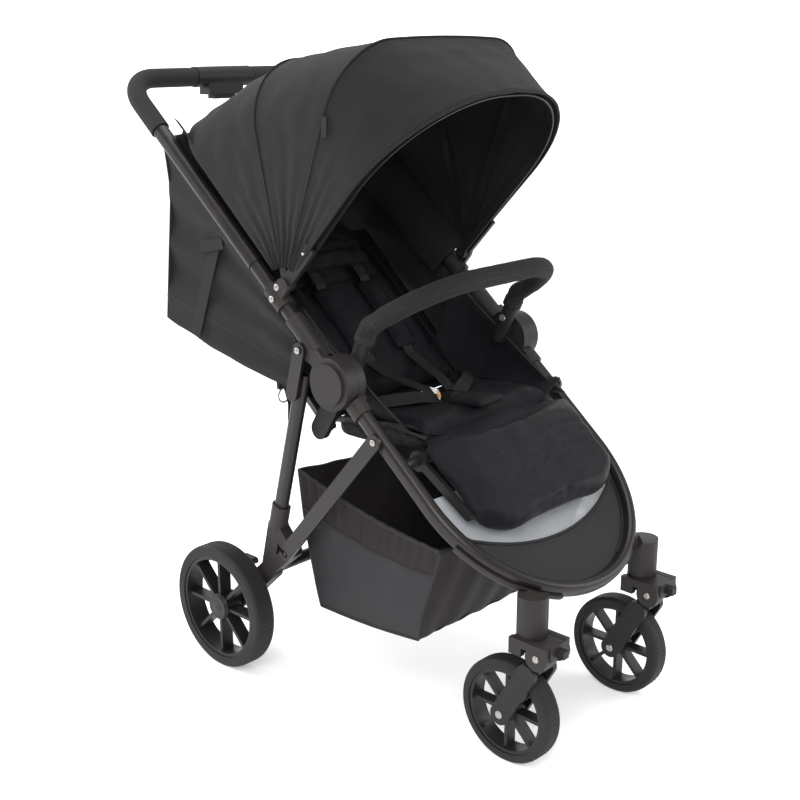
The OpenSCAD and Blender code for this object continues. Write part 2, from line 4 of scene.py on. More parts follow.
import bpy
import numpy as np
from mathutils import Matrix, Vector

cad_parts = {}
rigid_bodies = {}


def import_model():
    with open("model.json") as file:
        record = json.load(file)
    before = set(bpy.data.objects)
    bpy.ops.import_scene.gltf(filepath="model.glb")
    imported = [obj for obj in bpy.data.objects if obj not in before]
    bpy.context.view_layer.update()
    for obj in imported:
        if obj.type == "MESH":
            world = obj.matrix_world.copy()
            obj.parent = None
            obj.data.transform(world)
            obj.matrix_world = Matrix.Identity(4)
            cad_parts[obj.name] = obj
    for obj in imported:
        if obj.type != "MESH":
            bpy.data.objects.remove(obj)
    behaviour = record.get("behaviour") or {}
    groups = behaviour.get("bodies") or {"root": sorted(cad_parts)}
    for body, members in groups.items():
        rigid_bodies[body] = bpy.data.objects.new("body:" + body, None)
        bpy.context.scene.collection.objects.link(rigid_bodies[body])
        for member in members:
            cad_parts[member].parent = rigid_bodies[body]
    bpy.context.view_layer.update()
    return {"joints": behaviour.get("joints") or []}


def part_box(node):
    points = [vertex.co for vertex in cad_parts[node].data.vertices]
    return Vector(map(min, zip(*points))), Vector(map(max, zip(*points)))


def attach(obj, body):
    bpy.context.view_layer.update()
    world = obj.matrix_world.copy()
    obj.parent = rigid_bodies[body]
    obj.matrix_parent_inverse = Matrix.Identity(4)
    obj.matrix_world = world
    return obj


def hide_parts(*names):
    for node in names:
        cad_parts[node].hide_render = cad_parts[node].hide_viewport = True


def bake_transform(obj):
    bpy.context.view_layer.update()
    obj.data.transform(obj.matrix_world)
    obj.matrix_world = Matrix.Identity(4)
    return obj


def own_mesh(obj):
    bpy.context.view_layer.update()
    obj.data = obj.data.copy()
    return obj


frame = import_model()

scene = bpy.context.scene

# --- Studio ---------------------------------------------------------------------------------
# A plain white sweep of floor with large soft lights, and one long lens that looks down
# on the stroller from its front right corner.
CAMERA_AT = Vector((-1.528, -1.4447, 1.094))
CAMERA_TURN = math.radians(-46.74)
CAMERA_DIP = math.radians(16.4)

camera_data = bpy.data.cameras.new("camera")
camera_data.lens = 56.25
camera_data.sensor_width = 36
camera = bpy.data.objects.new("camera", camera_data)
camera.location = CAMERA_AT
camera.rotation_euler = (math.pi / 2 - CAMERA_DIP, 0, CAMERA_TURN)
scene.collection.objects.link(camera)
scene.camera = camera
scene.view_settings.view_transform = "Standard"
scene.view_settings.look = "None"


def area_light(name, place, target, size, power):
    data = bpy.data.lights.new(name, "AREA")
    data.shape = "RECTANGLE"
    data.size, data.size_y = size
    data.energy = power
    lamp = bpy.data.objects.new(name, data)
    lamp.location = place
    lamp.rotation_euler = (Vector(target) - Vector(place)).to_track_quat("-Z", "Y").to_euler()
    scene.collection.objects.link(lamp)


area_light("key_light", (-2.6, -1.9, 2.6), (0, 0, 0.5), (2.0, 2.0), 95)
area_light("fill_light", (2.4, -2.6, 1.6), (0, 0, 0.5), (2.2, 1.6), 45)
area_light("rim_light", (-1.6, 2.4, 2.0), (0, 0, 0.6), (1.6, 1.6), 60)
area_light("top_light", (0.2, 0.1, 3.2), (0, 0, 0.4), (2.4, 2.4), 60)

world = bpy.data.worlds.new("studio")
scene.world = world
world.use_nodes = True
world.node_tree.nodes["Background"].inputs["Color"].default_value = (1, 1, 1, 1)
world.node_tree.nodes["Background"].inputs["Strength"].default_value = 0.55


def shader_group(name, inputs, outputs):
    group = bpy.data.node_groups.new(name, "ShaderNodeTree")
    for label, kind, value in inputs:
        group.interface.new_socket(label, in_out="INPUT", socket_type=kind).default_value = value
    for label, kind in outputs:
        group.interface.new_socket(label, in_out="OUTPUT", socket_type=kind)
    return group, group.nodes.new("NodeGroupInput"), group.nodes.new("NodeGroupOutput")


def plain_material(name, **sockets):
    finish = bpy.data.materials.new(name)
    finish.use_nodes = True
    surface = finish.node_tree.nodes["Principled BSDF"]
    for label, value in sockets.items():
        surface.inputs[label.replace("_", " ")].default_value = value
    return finish, finish.node_tree, surface


def add_node(tree, kind, settings=None, **inputs):
    node = tree.nodes.new(kind)
    for key, value in (settings or {}).items():
        setattr(node, key, value)
    for label, value in inputs.items():
        socket = node.inputs[int(label[1:])] if label[0] == "_" else node.inputs[label.replace("_", " ")]
        if isinstance(value, bpy.types.NodeSocket):
            tree.links.new(value, socket)
        else:
            socket.default_value = value
    return node


def bump_into(tree, surface, height, strength, distance):
    bump = add_node(tree, "ShaderNodeBump", Strength=strength, Distance=distance, Height=height)
    tree.links.new(bump.outputs["Normal"], surface.inputs["Normal"])


floor_paint, floor_tree, floor_surface = plain_material("floor_paper", Roughness=0.9, Emission_Color=(1, 1, 1, 1),
                                                          Emission_Strength=0.30)
floor_spots = add_node(floor_tree, "ShaderNodeTexNoise", Scale=2.0)
floor_tone = add_node(floor_tree, "ShaderNodeMix", {"data_type": "RGBA"}, _0=floor_spots.outputs["Fac"])
floor_tone.inputs[6].default_value = (0.93, 0.93, 0.93, 1)
floor_tone.inputs[7].default_value = (0.96, 0.96, 0.96, 1)
floor_tree.links.new(floor_tone.outputs[2], floor_surface.inputs["Base Color"])
floor_mesh = bpy.data.meshes.new("floor")
floor_mesh.from_pydata([(-30, -30, 0), (30, -30, 0), (30, 30, 0), (-30, 30, 0)], [], [(0, 1, 2, 3)])
floor = bpy.data.objects.new("floor", floor_mesh)
floor_mesh.materials.append(floor_paint)
backdrop_paint, _, _ = plain_material("backdrop_paper", Emission_Color=(1, 1, 1, 1), Emission_Strength=1.1)
backdrop_mesh = bpy.data.meshes.new("backdrop")
backdrop_mesh.from_pydata([(-6, 14, -1), (22, 6, -1), (22, 6, 9), (-6, 14, 9)], [], [(0, 1, 2, 3)])
backdrop = bpy.data.objects.new("backdrop", backdrop_mesh)
backdrop_mesh.materials.append(backdrop_paint)
for piece in (floor, backdrop):
    scene.collection.objects.link(piece)

# --- Painted tubes --------------------------------------------------------------------------
# The handle, the front loop, the rear legs and their braces are bent steel and aluminium
# tube, powder coated a satin brown-black with a faint orange peel.
mottle, mottle_in, mottle_out = shader_group(
    "mottled_grain",
    [("Dark", "NodeSocketColor", (0.02, 0.02, 0.02, 1)), ("Light", "NodeSocketColor", (0.03, 0.03, 0.03, 1)),
     ("Grain Scale", "NodeSocketFloat", 900.0), ("Smooth", "NodeSocketFloat", 0.3),
     ("Rough", "NodeSocketFloat", 0.5)],
    [("Color", "NodeSocketColor"), ("Roughness", "NodeSocketFloat"), ("Height", "NodeSocketFloat")],
)
mottle_at = add_node(mottle, "ShaderNodeTexCoord").outputs["Object"]
mottle_broad = add_node(mottle, "ShaderNodeTexNoise", Vector=mottle_at, Scale=14.0, Detail=5.0)
mottle_fine = add_node(mottle, "ShaderNodeTexNoise", Vector=mottle_at, Detail=2.0,
                       Scale=mottle_in.outputs["Grain Scale"])
mottle_mix = add_node(mottle, "ShaderNodeMix", {"data_type": "RGBA"}, _0=mottle_broad.outputs["Fac"],
                      _6=mottle_in.outputs["Dark"], _7=mottle_in.outputs["Light"])
mottle_rough = add_node(mottle, "ShaderNodeMapRange", Value=mottle_broad.outputs["Fac"],
                        From_Min=0.3, From_Max=0.7, To_Min=mottle_in.outputs["Smooth"],
                        To_Max=mottle_in.outputs["Rough"])
mottle.links.new(mottle_mix.outputs[2], mottle_out.inputs["Color"])
mottle.links.new(mottle_rough.outputs["Result"], mottle_out.inputs["Roughness"])
mottle.links.new(mottle_fine.outputs["Fac"], mottle_out.inputs["Height"])


def grained(name, dark, light, smooth, rough, grain_scale, bump, depth=0.0004, **sockets):
    finish, tree, surface = plain_material(name, **{"Specular_IOR_Level": 0.24, **sockets})
    grain = add_node(tree, "ShaderNodeGroup", {"node_tree": mottle}, Dark=(*dark, 1), Light=(*light, 1),
                     Grain_Scale=grain_scale, Smooth=smooth, Rough=rough)
    tree.links.new(grain.outputs["Color"], surface.inputs["Base Color"])
    tree.links.new(grain.outputs["Roughness"], surface.inputs["Roughness"])
    bump_into(tree, surface, grain.outputs["Height"], bump, depth)
    return finish


def node_object(name):
    return next(o for o in scene.objects if o.type == "MESH" and o.name.split(".")[0] == name)


def paint_nodes(finish, *names):
    for name in names:
        data = node_object(name).data
        data.materials.clear()
        data.materials.append(finish)


tube_paint = grained("powder_coat", (0.012, 0.010, 0.010), (0.021, 0.017, 0.016), 0.30, 0.42, 1400.0, 0.12,
                     Metallic=0.35, Coat_Weight=0.25, Coat_Roughness=0.35)
paint_nodes(tube_paint, "front_loop", "handle_tube", "rear_leg_left", "rear_leg_right",
            "rear_crossbar", "brace_left", "brace_right")
zinc = grained("zinc_plate", (0.30, 0.29, 0.28), (0.42, 0.41, 0.39), 0.28, 0.45, 700.0, 0.2, Metallic=1.0)
dark_zinc = grained("dark_zinc", (0.05, 0.05, 0.05), (0.10, 0.10, 0.10), 0.35, 0.5, 700.0, 0.2, Metallic=0.9)
paint_nodes(dark_zinc, "seat_link", "backrest_frame", "seat_crossbar")

# --- Moulded housings -----------------------------------------------------------------------
# Hubs, leg sockets, caster heads and clamps are injection moulded nylon in the frame's
# colour, spark eroded to a fine even grain.
housing = grained("housing_nylon", (0.016, 0.014, 0.014), (0.027, 0.023, 0.022), 0.42, 0.55, 2200.0, 0.25)
black_nylon = grained("black_nylon", (0.008, 0.008, 0.008), (0.016, 0.016, 0.016), 0.4, 0.6, 1800.0, 0.3)
paint_nodes(housing, "hub_bases", "hub_cover_left", "hub_cover_right", "caster_mount_left",
            "caster_mount_right", "caster_left", "caster_right", "rear_bracket_left",
            "rear_bracket_right", "canopy_clamps")
paint_nodes(black_nylon, "seat_mounts", "handle_sleeve", "fold_trigger", "brake_pedal", "fork_left",
            "fork_right", "swivel_lock_left", "swivel_lock_right", "bumper_ends", "buckle_button",
            "rib_rear", "rib_middle", "rib_front", "legrest_arms", "buckle")
# Painted highlight: the bumper buttons' bright silver-grey stands for the glint on each button; the canopy hoop rings
# take the same silver finish.
silver_and_painted_highlight = grained("silver_and_painted_highlight", (0.45, 0.45, 0.45), (0.6, 0.6, 0.6), 0.25, 0.4, 900.0, 0.1, Metallic=0.8)
paint_nodes(silver_and_painted_highlight, "bumper_button_left", "bumper_button_right")


def joint_point(name):
    return Vector(next(j for j in frame["joints"] if j["name"] == name)["pos_m"])


hub = joint_point("fold")
grip_radius = 0.017
grip_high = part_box("grips")[1]
push_bar = Vector((0, grip_high[1] - grip_radius, grip_high[2] - grip_radius))
slope_dir = (push_bar - Vector((0, hub.y, hub.z))).normalized()
slope_up = Vector((0, -slope_dir.z, slope_dir.y))
handle_run = (push_bar - Vector((0, hub.y, hub.z))).length


def on_slope(s, n=0.0, x=0.0):
    point = Vector((x, hub.y, hub.z)) + slope_dir * s + slope_up * n
    return point


def mesh_piece(name, points, faces, finish, smooth=True):
    data = bpy.data.meshes.new(name)
    data.from_pydata([tuple(p) for p in points], [], faces)
    data.validate()
    data.materials.append(finish)
    data.polygons.foreach_set("use_smooth", [smooth] * len(data.polygons))
    piece = bpy.data.objects.new(name, data)
    scene.collection.objects.link(piece)
    return piece


# --- Rivets and caps ------------------------------------------------------------------------
# Domed steel rivets hold the legs, braces and clamps; each head is a low dome.
def rivet_tree():
    tree = bpy.data.node_groups.new("rivet_heads", "GeometryNodeTree")
    tree.is_modifier = True
    tree.interface.new_socket("Geometry", in_out="INPUT", socket_type="NodeSocketGeometry")
    tree.interface.new_socket("Head Radius", in_out="INPUT", socket_type="NodeSocketFloat")
    tree.interface.new_socket("Finish", in_out="INPUT", socket_type="NodeSocketMaterial")
    tree.interface.new_socket("Geometry", in_out="OUTPUT", socket_type="NodeSocketGeometry")
    given = add_node(tree, "NodeGroupInput")
    head = add_node(tree, "GeometryNodeMeshUVSphere", Segments=20, Rings=10,
                    Radius=given.outputs["Head Radius"])
    flat = add_node(tree, "GeometryNodeTransform", Geometry=head.outputs["Mesh"], Scale=(1, 1, 0.42))
    facing = add_node(tree, "GeometryNodeInputNormal")
    turn = add_node(tree, "FunctionNodeAlignRotationToVector", {"axis": "Z"}, Vector=facing.outputs["Normal"])
    seeds = add_node(tree, "GeometryNodeMeshToPoints", {"mode": "FACES"}, Mesh=given.outputs["Geometry"])
    store = add_node(tree, "GeometryNodeStoreNamedAttribute",
                     {"data_type": "QUATERNION", "domain": "FACE"}, Geometry=given.outputs["Geometry"], Name="turn")
    tree.links.new(turn.outputs["Rotation"], store.inputs["Value"])
    tree.links.new(store.outputs["Geometry"], seeds.inputs["Mesh"])
    kept = add_node(tree, "GeometryNodeInputNamedAttribute", {"data_type": "QUATERNION"}, Name="turn")
    place = add_node(tree, "GeometryNodeInstanceOnPoints", Points=seeds.outputs["Points"],
                     Instance=flat.outputs["Geometry"], Rotation=kept.outputs["Attribute"])
    real = add_node(tree, "GeometryNodeRealizeInstances", Geometry=place.outputs["Instances"])
    smooth = add_node(tree, "GeometryNodeSetShadeSmooth", Geometry=real.outputs["Geometry"])
    dressed = add_node(tree, "GeometryNodeSetMaterial", Geometry=smooth.outputs["Geometry"],
                       Material=given.outputs["Finish"])
    result = add_node(tree, "NodeGroupOutput")
    tree.links.new(dressed.outputs["Geometry"], result.inputs["Geometry"])
    return tree


def socket_id(tree, label):
    return next(i.identifier for i in tree.interface.items_tree if i.name == label and i.in_out == "INPUT")


def grow(name, seed_piece, tree, finish, **values):
    grower = seed_piece.modifiers.new("grow", "NODES")
    grower.node_group = tree
    for label, value in values.items():
        grower[socket_id(tree, label.replace("_", " "))] = value
    grower[socket_id(tree, "Finish")] = finish
    seen = seed_piece.evaluated_get(bpy.context.evaluated_depsgraph_get())
    data = bpy.data.meshes.new_from_object(seen)
    data.name = name
    bpy.data.objects.remove(seed_piece)
    piece = bpy.data.objects.new(name, data)
    scene.collection.objects.link(piece)
    return piece


rivet_heads = rivet_tree()


def rivets(name, body, places, radius):
    points, faces = [], []
    for place, facing in places:
        first = len(points)
        facing = Vector(facing).normalized()
        side = facing.orthogonal().normalized() * 0.001
        other = facing.cross(side)
        points += [Vector(place) + side, Vector(place) + other, Vector(place) - side - other]
        faces.append((first, first + 1, first + 2))
    seed_piece = mesh_piece(name + "_seed", points, faces, zinc)
    piece = grow(name, seed_piece, rivet_heads, zinc, Head_Radius=radius)
    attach(piece, body)
    return piece


def pair(y, z, x):
    return [((side * x, y, z), (side, 0, 0)) for side in (-1, 1)]


leg_top = joint_point("leg_fold")
brace_top = joint_point("brace_fold")
clamp_at = on_slope(0.2575 * handle_run)
canopy_axis = joint_point("canopy_rear_turn")
rivets("rivets_handle", "handle", pair(leg_top.y, leg_top.z, 0.2400) + pair(clamp_at.y, clamp_at.z, 0.2335), 0.0058)
rivets("rivets_frame", "front_frame", pair(brace_top.y, brace_top.z, 0.2355), 0.0055)
rivets("rivets_canopy", "handle", pair(canopy_axis.y, canopy_axis.z, 0.2390), 0.0058)

# --- Wheels ---------------------------------------------------------------------------------
# Foam-filled tyres with moulded cross ribs round the tread, on spoked nylon rims whose
# hub screws are left in plain zinc.
tyre_rubber = grained("tyre_rubber", (0.010, 0.010, 0.010), (0.020, 0.020, 0.020), 0.55, 0.75, 1600.0, 0.35)
rim_nylon = grained("rim_nylon", (0.009, 0.009, 0.009), (0.015, 0.015, 0.015), 0.32, 0.45, 1500.0, 0.2)
SIDES = (("left", 1), ("right", -1))
for side, sign in SIDES:
    paint_nodes(tyre_rubber, f"rear_tyre_{side}", f"front_tyre_{side}")
    paint_nodes(rim_nylon, f"rear_rim_{side}", f"front_rim_{side}")


def tread_tree():
    tree = bpy.data.node_groups.new("tread_ribs", "GeometryNodeTree")
    tree.is_modifier = True
    tree.interface.new_socket("Geometry", in_out="INPUT", socket_type="NodeSocketGeometry")
    for label, kind in (("Ribs", "NodeSocketInt"), ("Tyre Radius", "NodeSocketFloat"),
                        ("Rib Width", "NodeSocketFloat"), ("Rib Length", "NodeSocketFloat"),
                        ("Rib Height", "NodeSocketFloat"), ("Finish", "NodeSocketMaterial")):
        tree.interface.new_socket(label, in_out="INPUT", socket_type=kind)
    tree.interface.new_socket("Geometry", in_out="OUTPUT", socket_type="NodeSocketGeometry")
    given = add_node(tree, "NodeGroupInput")
    ring = add_node(tree, "GeometryNodeMeshCircle", Vertices=given.outputs["Ribs"],
                    Radius=given.outputs["Tyre Radius"])
    size = add_node(tree, "ShaderNodeCombineXYZ", X=given.outputs["Rib Height"],
                    Y=given.outputs["Rib Width"], Z=given.outputs["Rib Length"])
    rib = add_node(tree, "GeometryNodeMeshCube", Size=size.outputs["Vector"])
    spot = add_node(tree, "GeometryNodeInputPosition")
    turn = add_node(tree, "FunctionNodeAlignRotationToVector", {"axis": "X", "pivot_axis": "Z"},
                    Vector=spot.outputs["Position"])
    place = add_node(tree, "GeometryNodeInstanceOnPoints", Points=ring.outputs["Mesh"],
                     Instance=rib.outputs["Mesh"], Rotation=turn.outputs["Rotation"])
    real = add_node(tree, "GeometryNodeRealizeInstances", Geometry=place.outputs["Instances"])
    dressed = add_node(tree, "GeometryNodeSetMaterial", Geometry=real.outputs["Geometry"],
                       Material=given.outputs["Finish"])
    result = add_node(tree, "NodeGroupOutput")
    tree.links.new(dressed.outputs["Geometry"], result.inputs["Geometry"])
    return tree


tread_ribs = tread_tree()


def tread(name, body, node, ribs, offset):
    low, high = (Vector(c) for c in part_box(node))
    centre, radius = (low + high) / 2, (high.z - low.z) / 2
    seed_piece = mesh_piece(name + "_seed", [(0, 0, 0), (0.001, 0, 0), (0, 0.001, 0)], [(0, 1, 2)], tyre_rubber)
    piece = grow(name, seed_piece, tread_ribs, tyre_rubber, Ribs=ribs, Tyre_Radius=radius - 0.0009,
                 Rib_Width=0.0032, Rib_Length=(high.x - low.x) * 0.26, Rib_Height=0.0026)
    shift = np.empty(len(piece.data.vertices) * 3)
    piece.data.vertices.foreach_get("co", shift)
    ring = shift.reshape(-1, 3)
    turned = np.column_stack([ring[:, 2] + centre.x + offset * (high.x - low.x),
                              ring[:, 1] + centre.y, -ring[:, 0] + centre.z])
    piece.data.vertices.foreach_set("co", turned.ravel())
    piece.data.update()
    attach(piece, body)


for side, sign in SIDES:
    for offset in (-0.17, 0.17):
        mark = "inner" if offset < 0 else "outer"
        tread(f"tread_rear_{side}_{mark}", f"rear_wheel_{side}", f"rear_tyre_{side}", 84, offset)
        tread(f"tread_front_{side}_{mark}", f"front_wheel_{side}", f"front_tyre_{side}", 66, offset)
rear_axle = joint_point("rear_wheel_left_spin")
front_axle = joint_point("front_wheel_left_spin")
fork_pin = joint_point("suspension_left")


def lathe(name, centre, axis_sign, outline, finish, body, turns=48):
    points, faces = [], []
    for x, r in outline:
        for k in range(turns):
            a = 2 * math.pi * k / turns
            points.append((centre.x + axis_sign * x, centre.y + r * math.cos(a), centre.z + r * math.sin(a)))
    for ring in range(len(outline) - 1):
        for k in range(turns):
            a, b = ring * turns + k, ring * turns + (k + 1) % turns
            face = (a, b, b + turns, a + turns)
            faces.append(face if axis_sign < 0 else face[::-1])
    last = (len(outline) - 1) * turns
    cap = list(range(last, last + turns))
    foot = list(range(turns))
    faces.append(cap if axis_sign > 0 else cap[::-1])
    faces.append(foot[::-1] if axis_sign > 0 else foot)
    piece = mesh_piece(name, points, faces, finish)
    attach(piece, body)
    return piece


for side, sign in SIDES:
    cap_at = Vector((sign * 0.2705, rear_axle.y, rear_axle.z))
    lathe(f"hub_cap_{side}", cap_at, sign,
          [(-0.004, 0.0235), (0.0005, 0.0235), (0.0018, 0.0225), (0.0022, 0.019), (0.0012, 0.0175), (0.0026, 0.012),
           (0.003, 0.004), (0.003, 0.001)], rim_nylon, f"rear_wheel_{side}")
    rivets(f"fork_bolts_{side}", f"fork_{side}",
           [((sign * 0.150 + k * 0.0291, front_axle.y, front_axle.z), (k, 0, 0)) for k in (-1, 1)], 0.0068)
    rivets(f"caster_bolts_{side}", f"caster_{side}",
           [((sign * 0.150 + k * 0.0301, fork_pin.y, fork_pin.z), (k, 0, 0)) for k in (-1, 1)], 0.0058)

# --- Grips ----------------------------------------------------------------------------------
# Soft closed-cell foam sleeves over the push bar, with a slightly porous matt skin.
foam = grained("grip_foam", (0.013, 0.013, 0.014), (0.022, 0.022, 0.023), 0.75, 0.9, 650.0, 0.7, depth=0.0008)
paint_nodes(foam, "grips")

# --- Cloth ----------------------------------------------------------------------------------
# Three cloths are used: plain weave polyester on the canopy, satin coated polyester on the
# seat, and an open knitted mesh. The weave follows the solid, so every side of a piece has it.
weave, weave_in, weave_out = shader_group(
    "cloth_weave",
    [("Dark", "NodeSocketColor", (0.02, 0.02, 0.02, 1)), ("Light", "NodeSocketColor", (0.03, 0.03, 0.03, 1)),
     ("Threads", "NodeSocketFloat", 1300.0), ("Smooth", "NodeSocketFloat", 0.6),
     ("Rough", "NodeSocketFloat", 0.85), ("Crease", "NodeSocketFloat", 0.5)],
    [("Color", "NodeSocketColor"), ("Roughness", "NodeSocketFloat"), ("Height", "NodeSocketFloat")],
)
weave_at = add_node(weave, "ShaderNodeTexCoord").outputs["Object"]
weave_phase = add_node(weave, "ShaderNodeVectorMath", {"operation": "SCALE"}, _0=weave_at,
                       Scale=weave_in.outputs["Threads"])
weave_axes = add_node(weave, "ShaderNodeSeparateXYZ", Vector=weave_phase.outputs["Vector"])
waves = [add_node(weave, "ShaderNodeMath", {"operation": "SINE"}, _0=weave_axes.outputs[k]).outputs[0]
         for k in "XYZ"]
crossings = [add_node(weave, "ShaderNodeMath", {"operation": "MULTIPLY"}, _0=waves[i], _1=waves[j]).outputs[0]
             for i, j in ((0, 1), (1, 2), (0, 2))]
weave_sum = add_node(weave, "ShaderNodeMath", {"operation": "ADD"}, _0=crossings[0], _1=crossings[1])
weave_all = add_node(weave, "ShaderNodeMath", {"operation": "ADD"}, _0=weave_sum.outputs[0], _1=crossings[2])
weave_blotch = add_node(weave, "ShaderNodeTexNoise", Vector=weave_at, Scale=6.0, Detail=6.0)
weave_crease = add_node(weave, "ShaderNodeTexNoise", Vector=weave_at, Scale=17.0, Detail=3.0, Distortion=1.1)
weave_thread = add_node(weave, "ShaderNodeMath", {"operation": "MULTIPLY_ADD"}, _0=weave_all.outputs[0],
                        _1=0.14, _2=weave_blotch.outputs["Fac"])
weave_tone = add_node(weave, "ShaderNodeMix", {"data_type": "RGBA"}, _0=weave_thread.outputs[0],
                      _6=weave_in.outputs["Dark"], _7=weave_in.outputs["Light"])
weave_rough = add_node(weave, "ShaderNodeMapRange", Value=weave_blotch.outputs["Fac"], From_Min=0.3,
                       From_Max=0.7, To_Min=weave_in.outputs["Smooth"], To_Max=weave_in.outputs["Rough"])
weave_fold = add_node(weave, "ShaderNodeMath", {"operation": "MULTIPLY"}, _0=weave_crease.outputs["Fac"],
                      _1=weave_in.outputs["Crease"])
weave_high = add_node(weave, "ShaderNodeMath", {"operation": "MULTIPLY_ADD"}, _0=weave_all.outputs[0],
                      _1=0.05, _2=weave_fold.outputs[0])
weave.links.new(weave_tone.outputs[2], weave_out.inputs["Color"])
weave.links.new(weave_rough.outputs["Result"], weave_out.inputs["Roughness"])
weave.links.new(weave_high.outputs[0], weave_out.inputs["Height"])


def woven(name, dark, light, smooth, rough, threads, crease, depth, **sockets):
    finish, tree, surface = plain_material(name, **{"Specular_IOR_Level": 0.15, **sockets})
    cloth = add_node(tree, "ShaderNodeGroup", {"node_tree": weave}, Dark=(*dark, 1), Light=(*light, 1),
                     Threads=threads, Smooth=smooth, Rough=rough, Crease=crease)
    tree.links.new(cloth.outputs["Color"], surface.inputs["Base Color"])
    tree.links.new(cloth.outputs["Roughness"], surface.inputs["Roughness"])
    bump_into(tree, surface, cloth.outputs["Height"], 0.55, depth)
    return finish


canopy_cloth = woven("canopy_cloth", (0.0100, 0.0098, 0.0112), (0.0180, 0.0176, 0.0192), 0.72, 0.9, 5200.0, 1.0,
                     0.004, Sheen_Weight=0.03, Sheen_Roughness=0.5)
# Partly painted shade: the seat cloth's own near-black is darkened further to stand for the shade inside the seat
# under the canopy; every piece in this cloth carries it.
seat_satin_and_shade = woven("seat_satin_and_shade", (0.0040, 0.0040, 0.0062), (0.0085, 0.0085, 0.0118), 0.36, 0.5, 6500.0, 1.0,
                   0.005, Sheen_Weight=0.02, Sheen_Roughness=0.4)
webbing = woven("webbing", (0.010, 0.010, 0.011), (0.024, 0.024, 0.026), 0.6, 0.8, 2600.0, 0.15, 0.0012)
thread = woven("sewing_thread", (0.030, 0.030, 0.032), (0.05, 0.05, 0.053), 0.5, 0.7, 9000.0, 0.1, 0.0004)


def curve_lengths(points):
    steps = [0.0]
    for a, b in zip(points, points[1:]):
        steps.append(steps[-1] + (Vector(b) - Vector(a)).length)
    return steps


def resampled(points, count):
    steps = curve_lengths(points)
    wanted = np.linspace(0, steps[-1], count)
    return [Vector([np.interp(w, steps, [p[k] for p in points]) for k in range(3)]) for w in wanted]


def cloth_grid(name, rows, finish, thickness=0.0012):
    """Quads between rows of points, with a UV map in metres along and across the cloth."""
    count = len(rows[0])
    points = [p for row in rows for p in row]
    faces = [(r * count + c, r * count + c + 1, (r + 1) * count + c + 1, (r + 1) * count + c)
             for r in range(len(rows) - 1) for c in range(count - 1)]
    piece = mesh_piece(name, points, faces, finish)
    along = curve_lengths(rows[len(rows) // 2])
    across = curve_lengths([row[count // 2] for row in rows])
    layer = piece.data.uv_layers.new(name="cloth")
    for loop in piece.data.loops:
        r, c = divmod(loop.vertex_index, count)
        layer.data[loop.index].uv = (along[c], across[r])
    piece["cut"] = [along[-1], across[-1], sum(f.area for f in piece.data.polygons)]
    if thickness:
        solid = piece.modifiers.new("thickness", "SOLIDIFY")
        solid.thickness = thickness
        solid.offset = 0
    return piece


def declare_sheet(piece):
    width, length, flat_area = piece["cut"]
    length = max(length, flat_area / width)


def strap(name, path, wide, width, thick, finish, body=None, count=40):
    """Flat webbing along a path; wide gives the direction of its width."""
    path = resampled(path, count)
    points, faces = [], []
    for k, p in enumerate(path):
        ahead = (path[min(k + 1, count - 1)] - path[max(k - 1, 0)]).normalized()
        side = Vector(wide(k / (count - 1)) if callable(wide) else wide)
        side = (side - ahead * side.dot(ahead)).normalized()
        up = ahead.cross(side).normalized()
        for a, b in ((-1, -1), (1, -1), (1, 1), (-1, 1)):
            points.append(p + side * a * width / 2 + up * b * thick / 2)
    for k in range(count - 1):
        for c in range(4):
            d = (c + 1) % 4
            faces.append((4 * k + c, 4 * k + 4 + c, 4 * k + 4 + d, 4 * k + d))
    faces += [(0, 1, 2, 3), (4 * count - 1, 4 * count - 2, 4 * count - 3, 4 * count - 4)]
    piece = mesh_piece(name, points, faces, finish, smooth=False)
    if body:
        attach(piece, body)
    return piece


def cord_tube(name, path, radius, finish, body=None, sides=10, closed=False, count=None):
    path = resampled(path, count) if count else [Vector(p) for p in path]
    total = len(path)
    points, faces = [], []
    up = Vector((0, 0, 1))
    for k, p in enumerate(path):
        before = path[k - 1] if (closed or k) else path[0]
        after = path[(k + 1) % total] if (closed or k < total - 1) else path[-1]
        ahead = (after - before).normalized()
        side = ahead.cross(up)
        side = side.normalized() if side.length > 0.05 else ahead.orthogonal().normalized()
        other = side.cross(ahead).normalized()
        reach = radius(k / max(1, total - 1)) if callable(radius) else radius
        for c in range(sides):
            a = 2 * math.pi * c / sides
            points.append(p + side * reach * math.cos(a) + other * reach * math.sin(a))
    for k in range(total if closed else total - 1):
        for c in range(sides):
            d, nxt = (c + 1) % sides, (k + 1) % total
            faces.append((k * sides + c, k * sides + d, nxt * sides + d, nxt * sides + c))
    if not closed:
        faces += [tuple(range(sides))[::-1], tuple((total - 1) * sides + c for c in range(sides))]
    piece = mesh_piece(name, points, faces, finish)
    if body:
        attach(piece, body)
    return piece


def wrinkle(p, scale, seed=0.0):
    x, y, z = (c * scale + seed for c in p)
    return (math.sin(x * 1.7 + 2.1 * math.sin(y * 1.3)) + math.sin(y * 2.3 + 1.7 * math.sin(z * 1.9 + seed))
            + math.sin(z * 2.9 + 1.3 * math.sin(x * 2.1))) / 3


# --- Canopy ---------------------------------------------------------------------------------
# Three cloth panels sewn to one another over hoops that turn on the clamps' rivets. The seams
# stand up as a thin piping over each hoop, and the visor's free edge has a turned hem.
def hoop_size(node):
    co = np.array([v.co for v in node_object(node).data.vertices])
    arm = co[:, 1:] - np.array([canopy_axis.y, canopy_axis.z])
    reach = np.linalg.norm(arm, axis=1)
    tip = arm[reach > reach.max() * 0.985].mean(axis=0)
    return reach.max(), math.atan2(tip[1], -tip[0])


FOLD_REACH = 0.034
PANEL_X = 0.2228


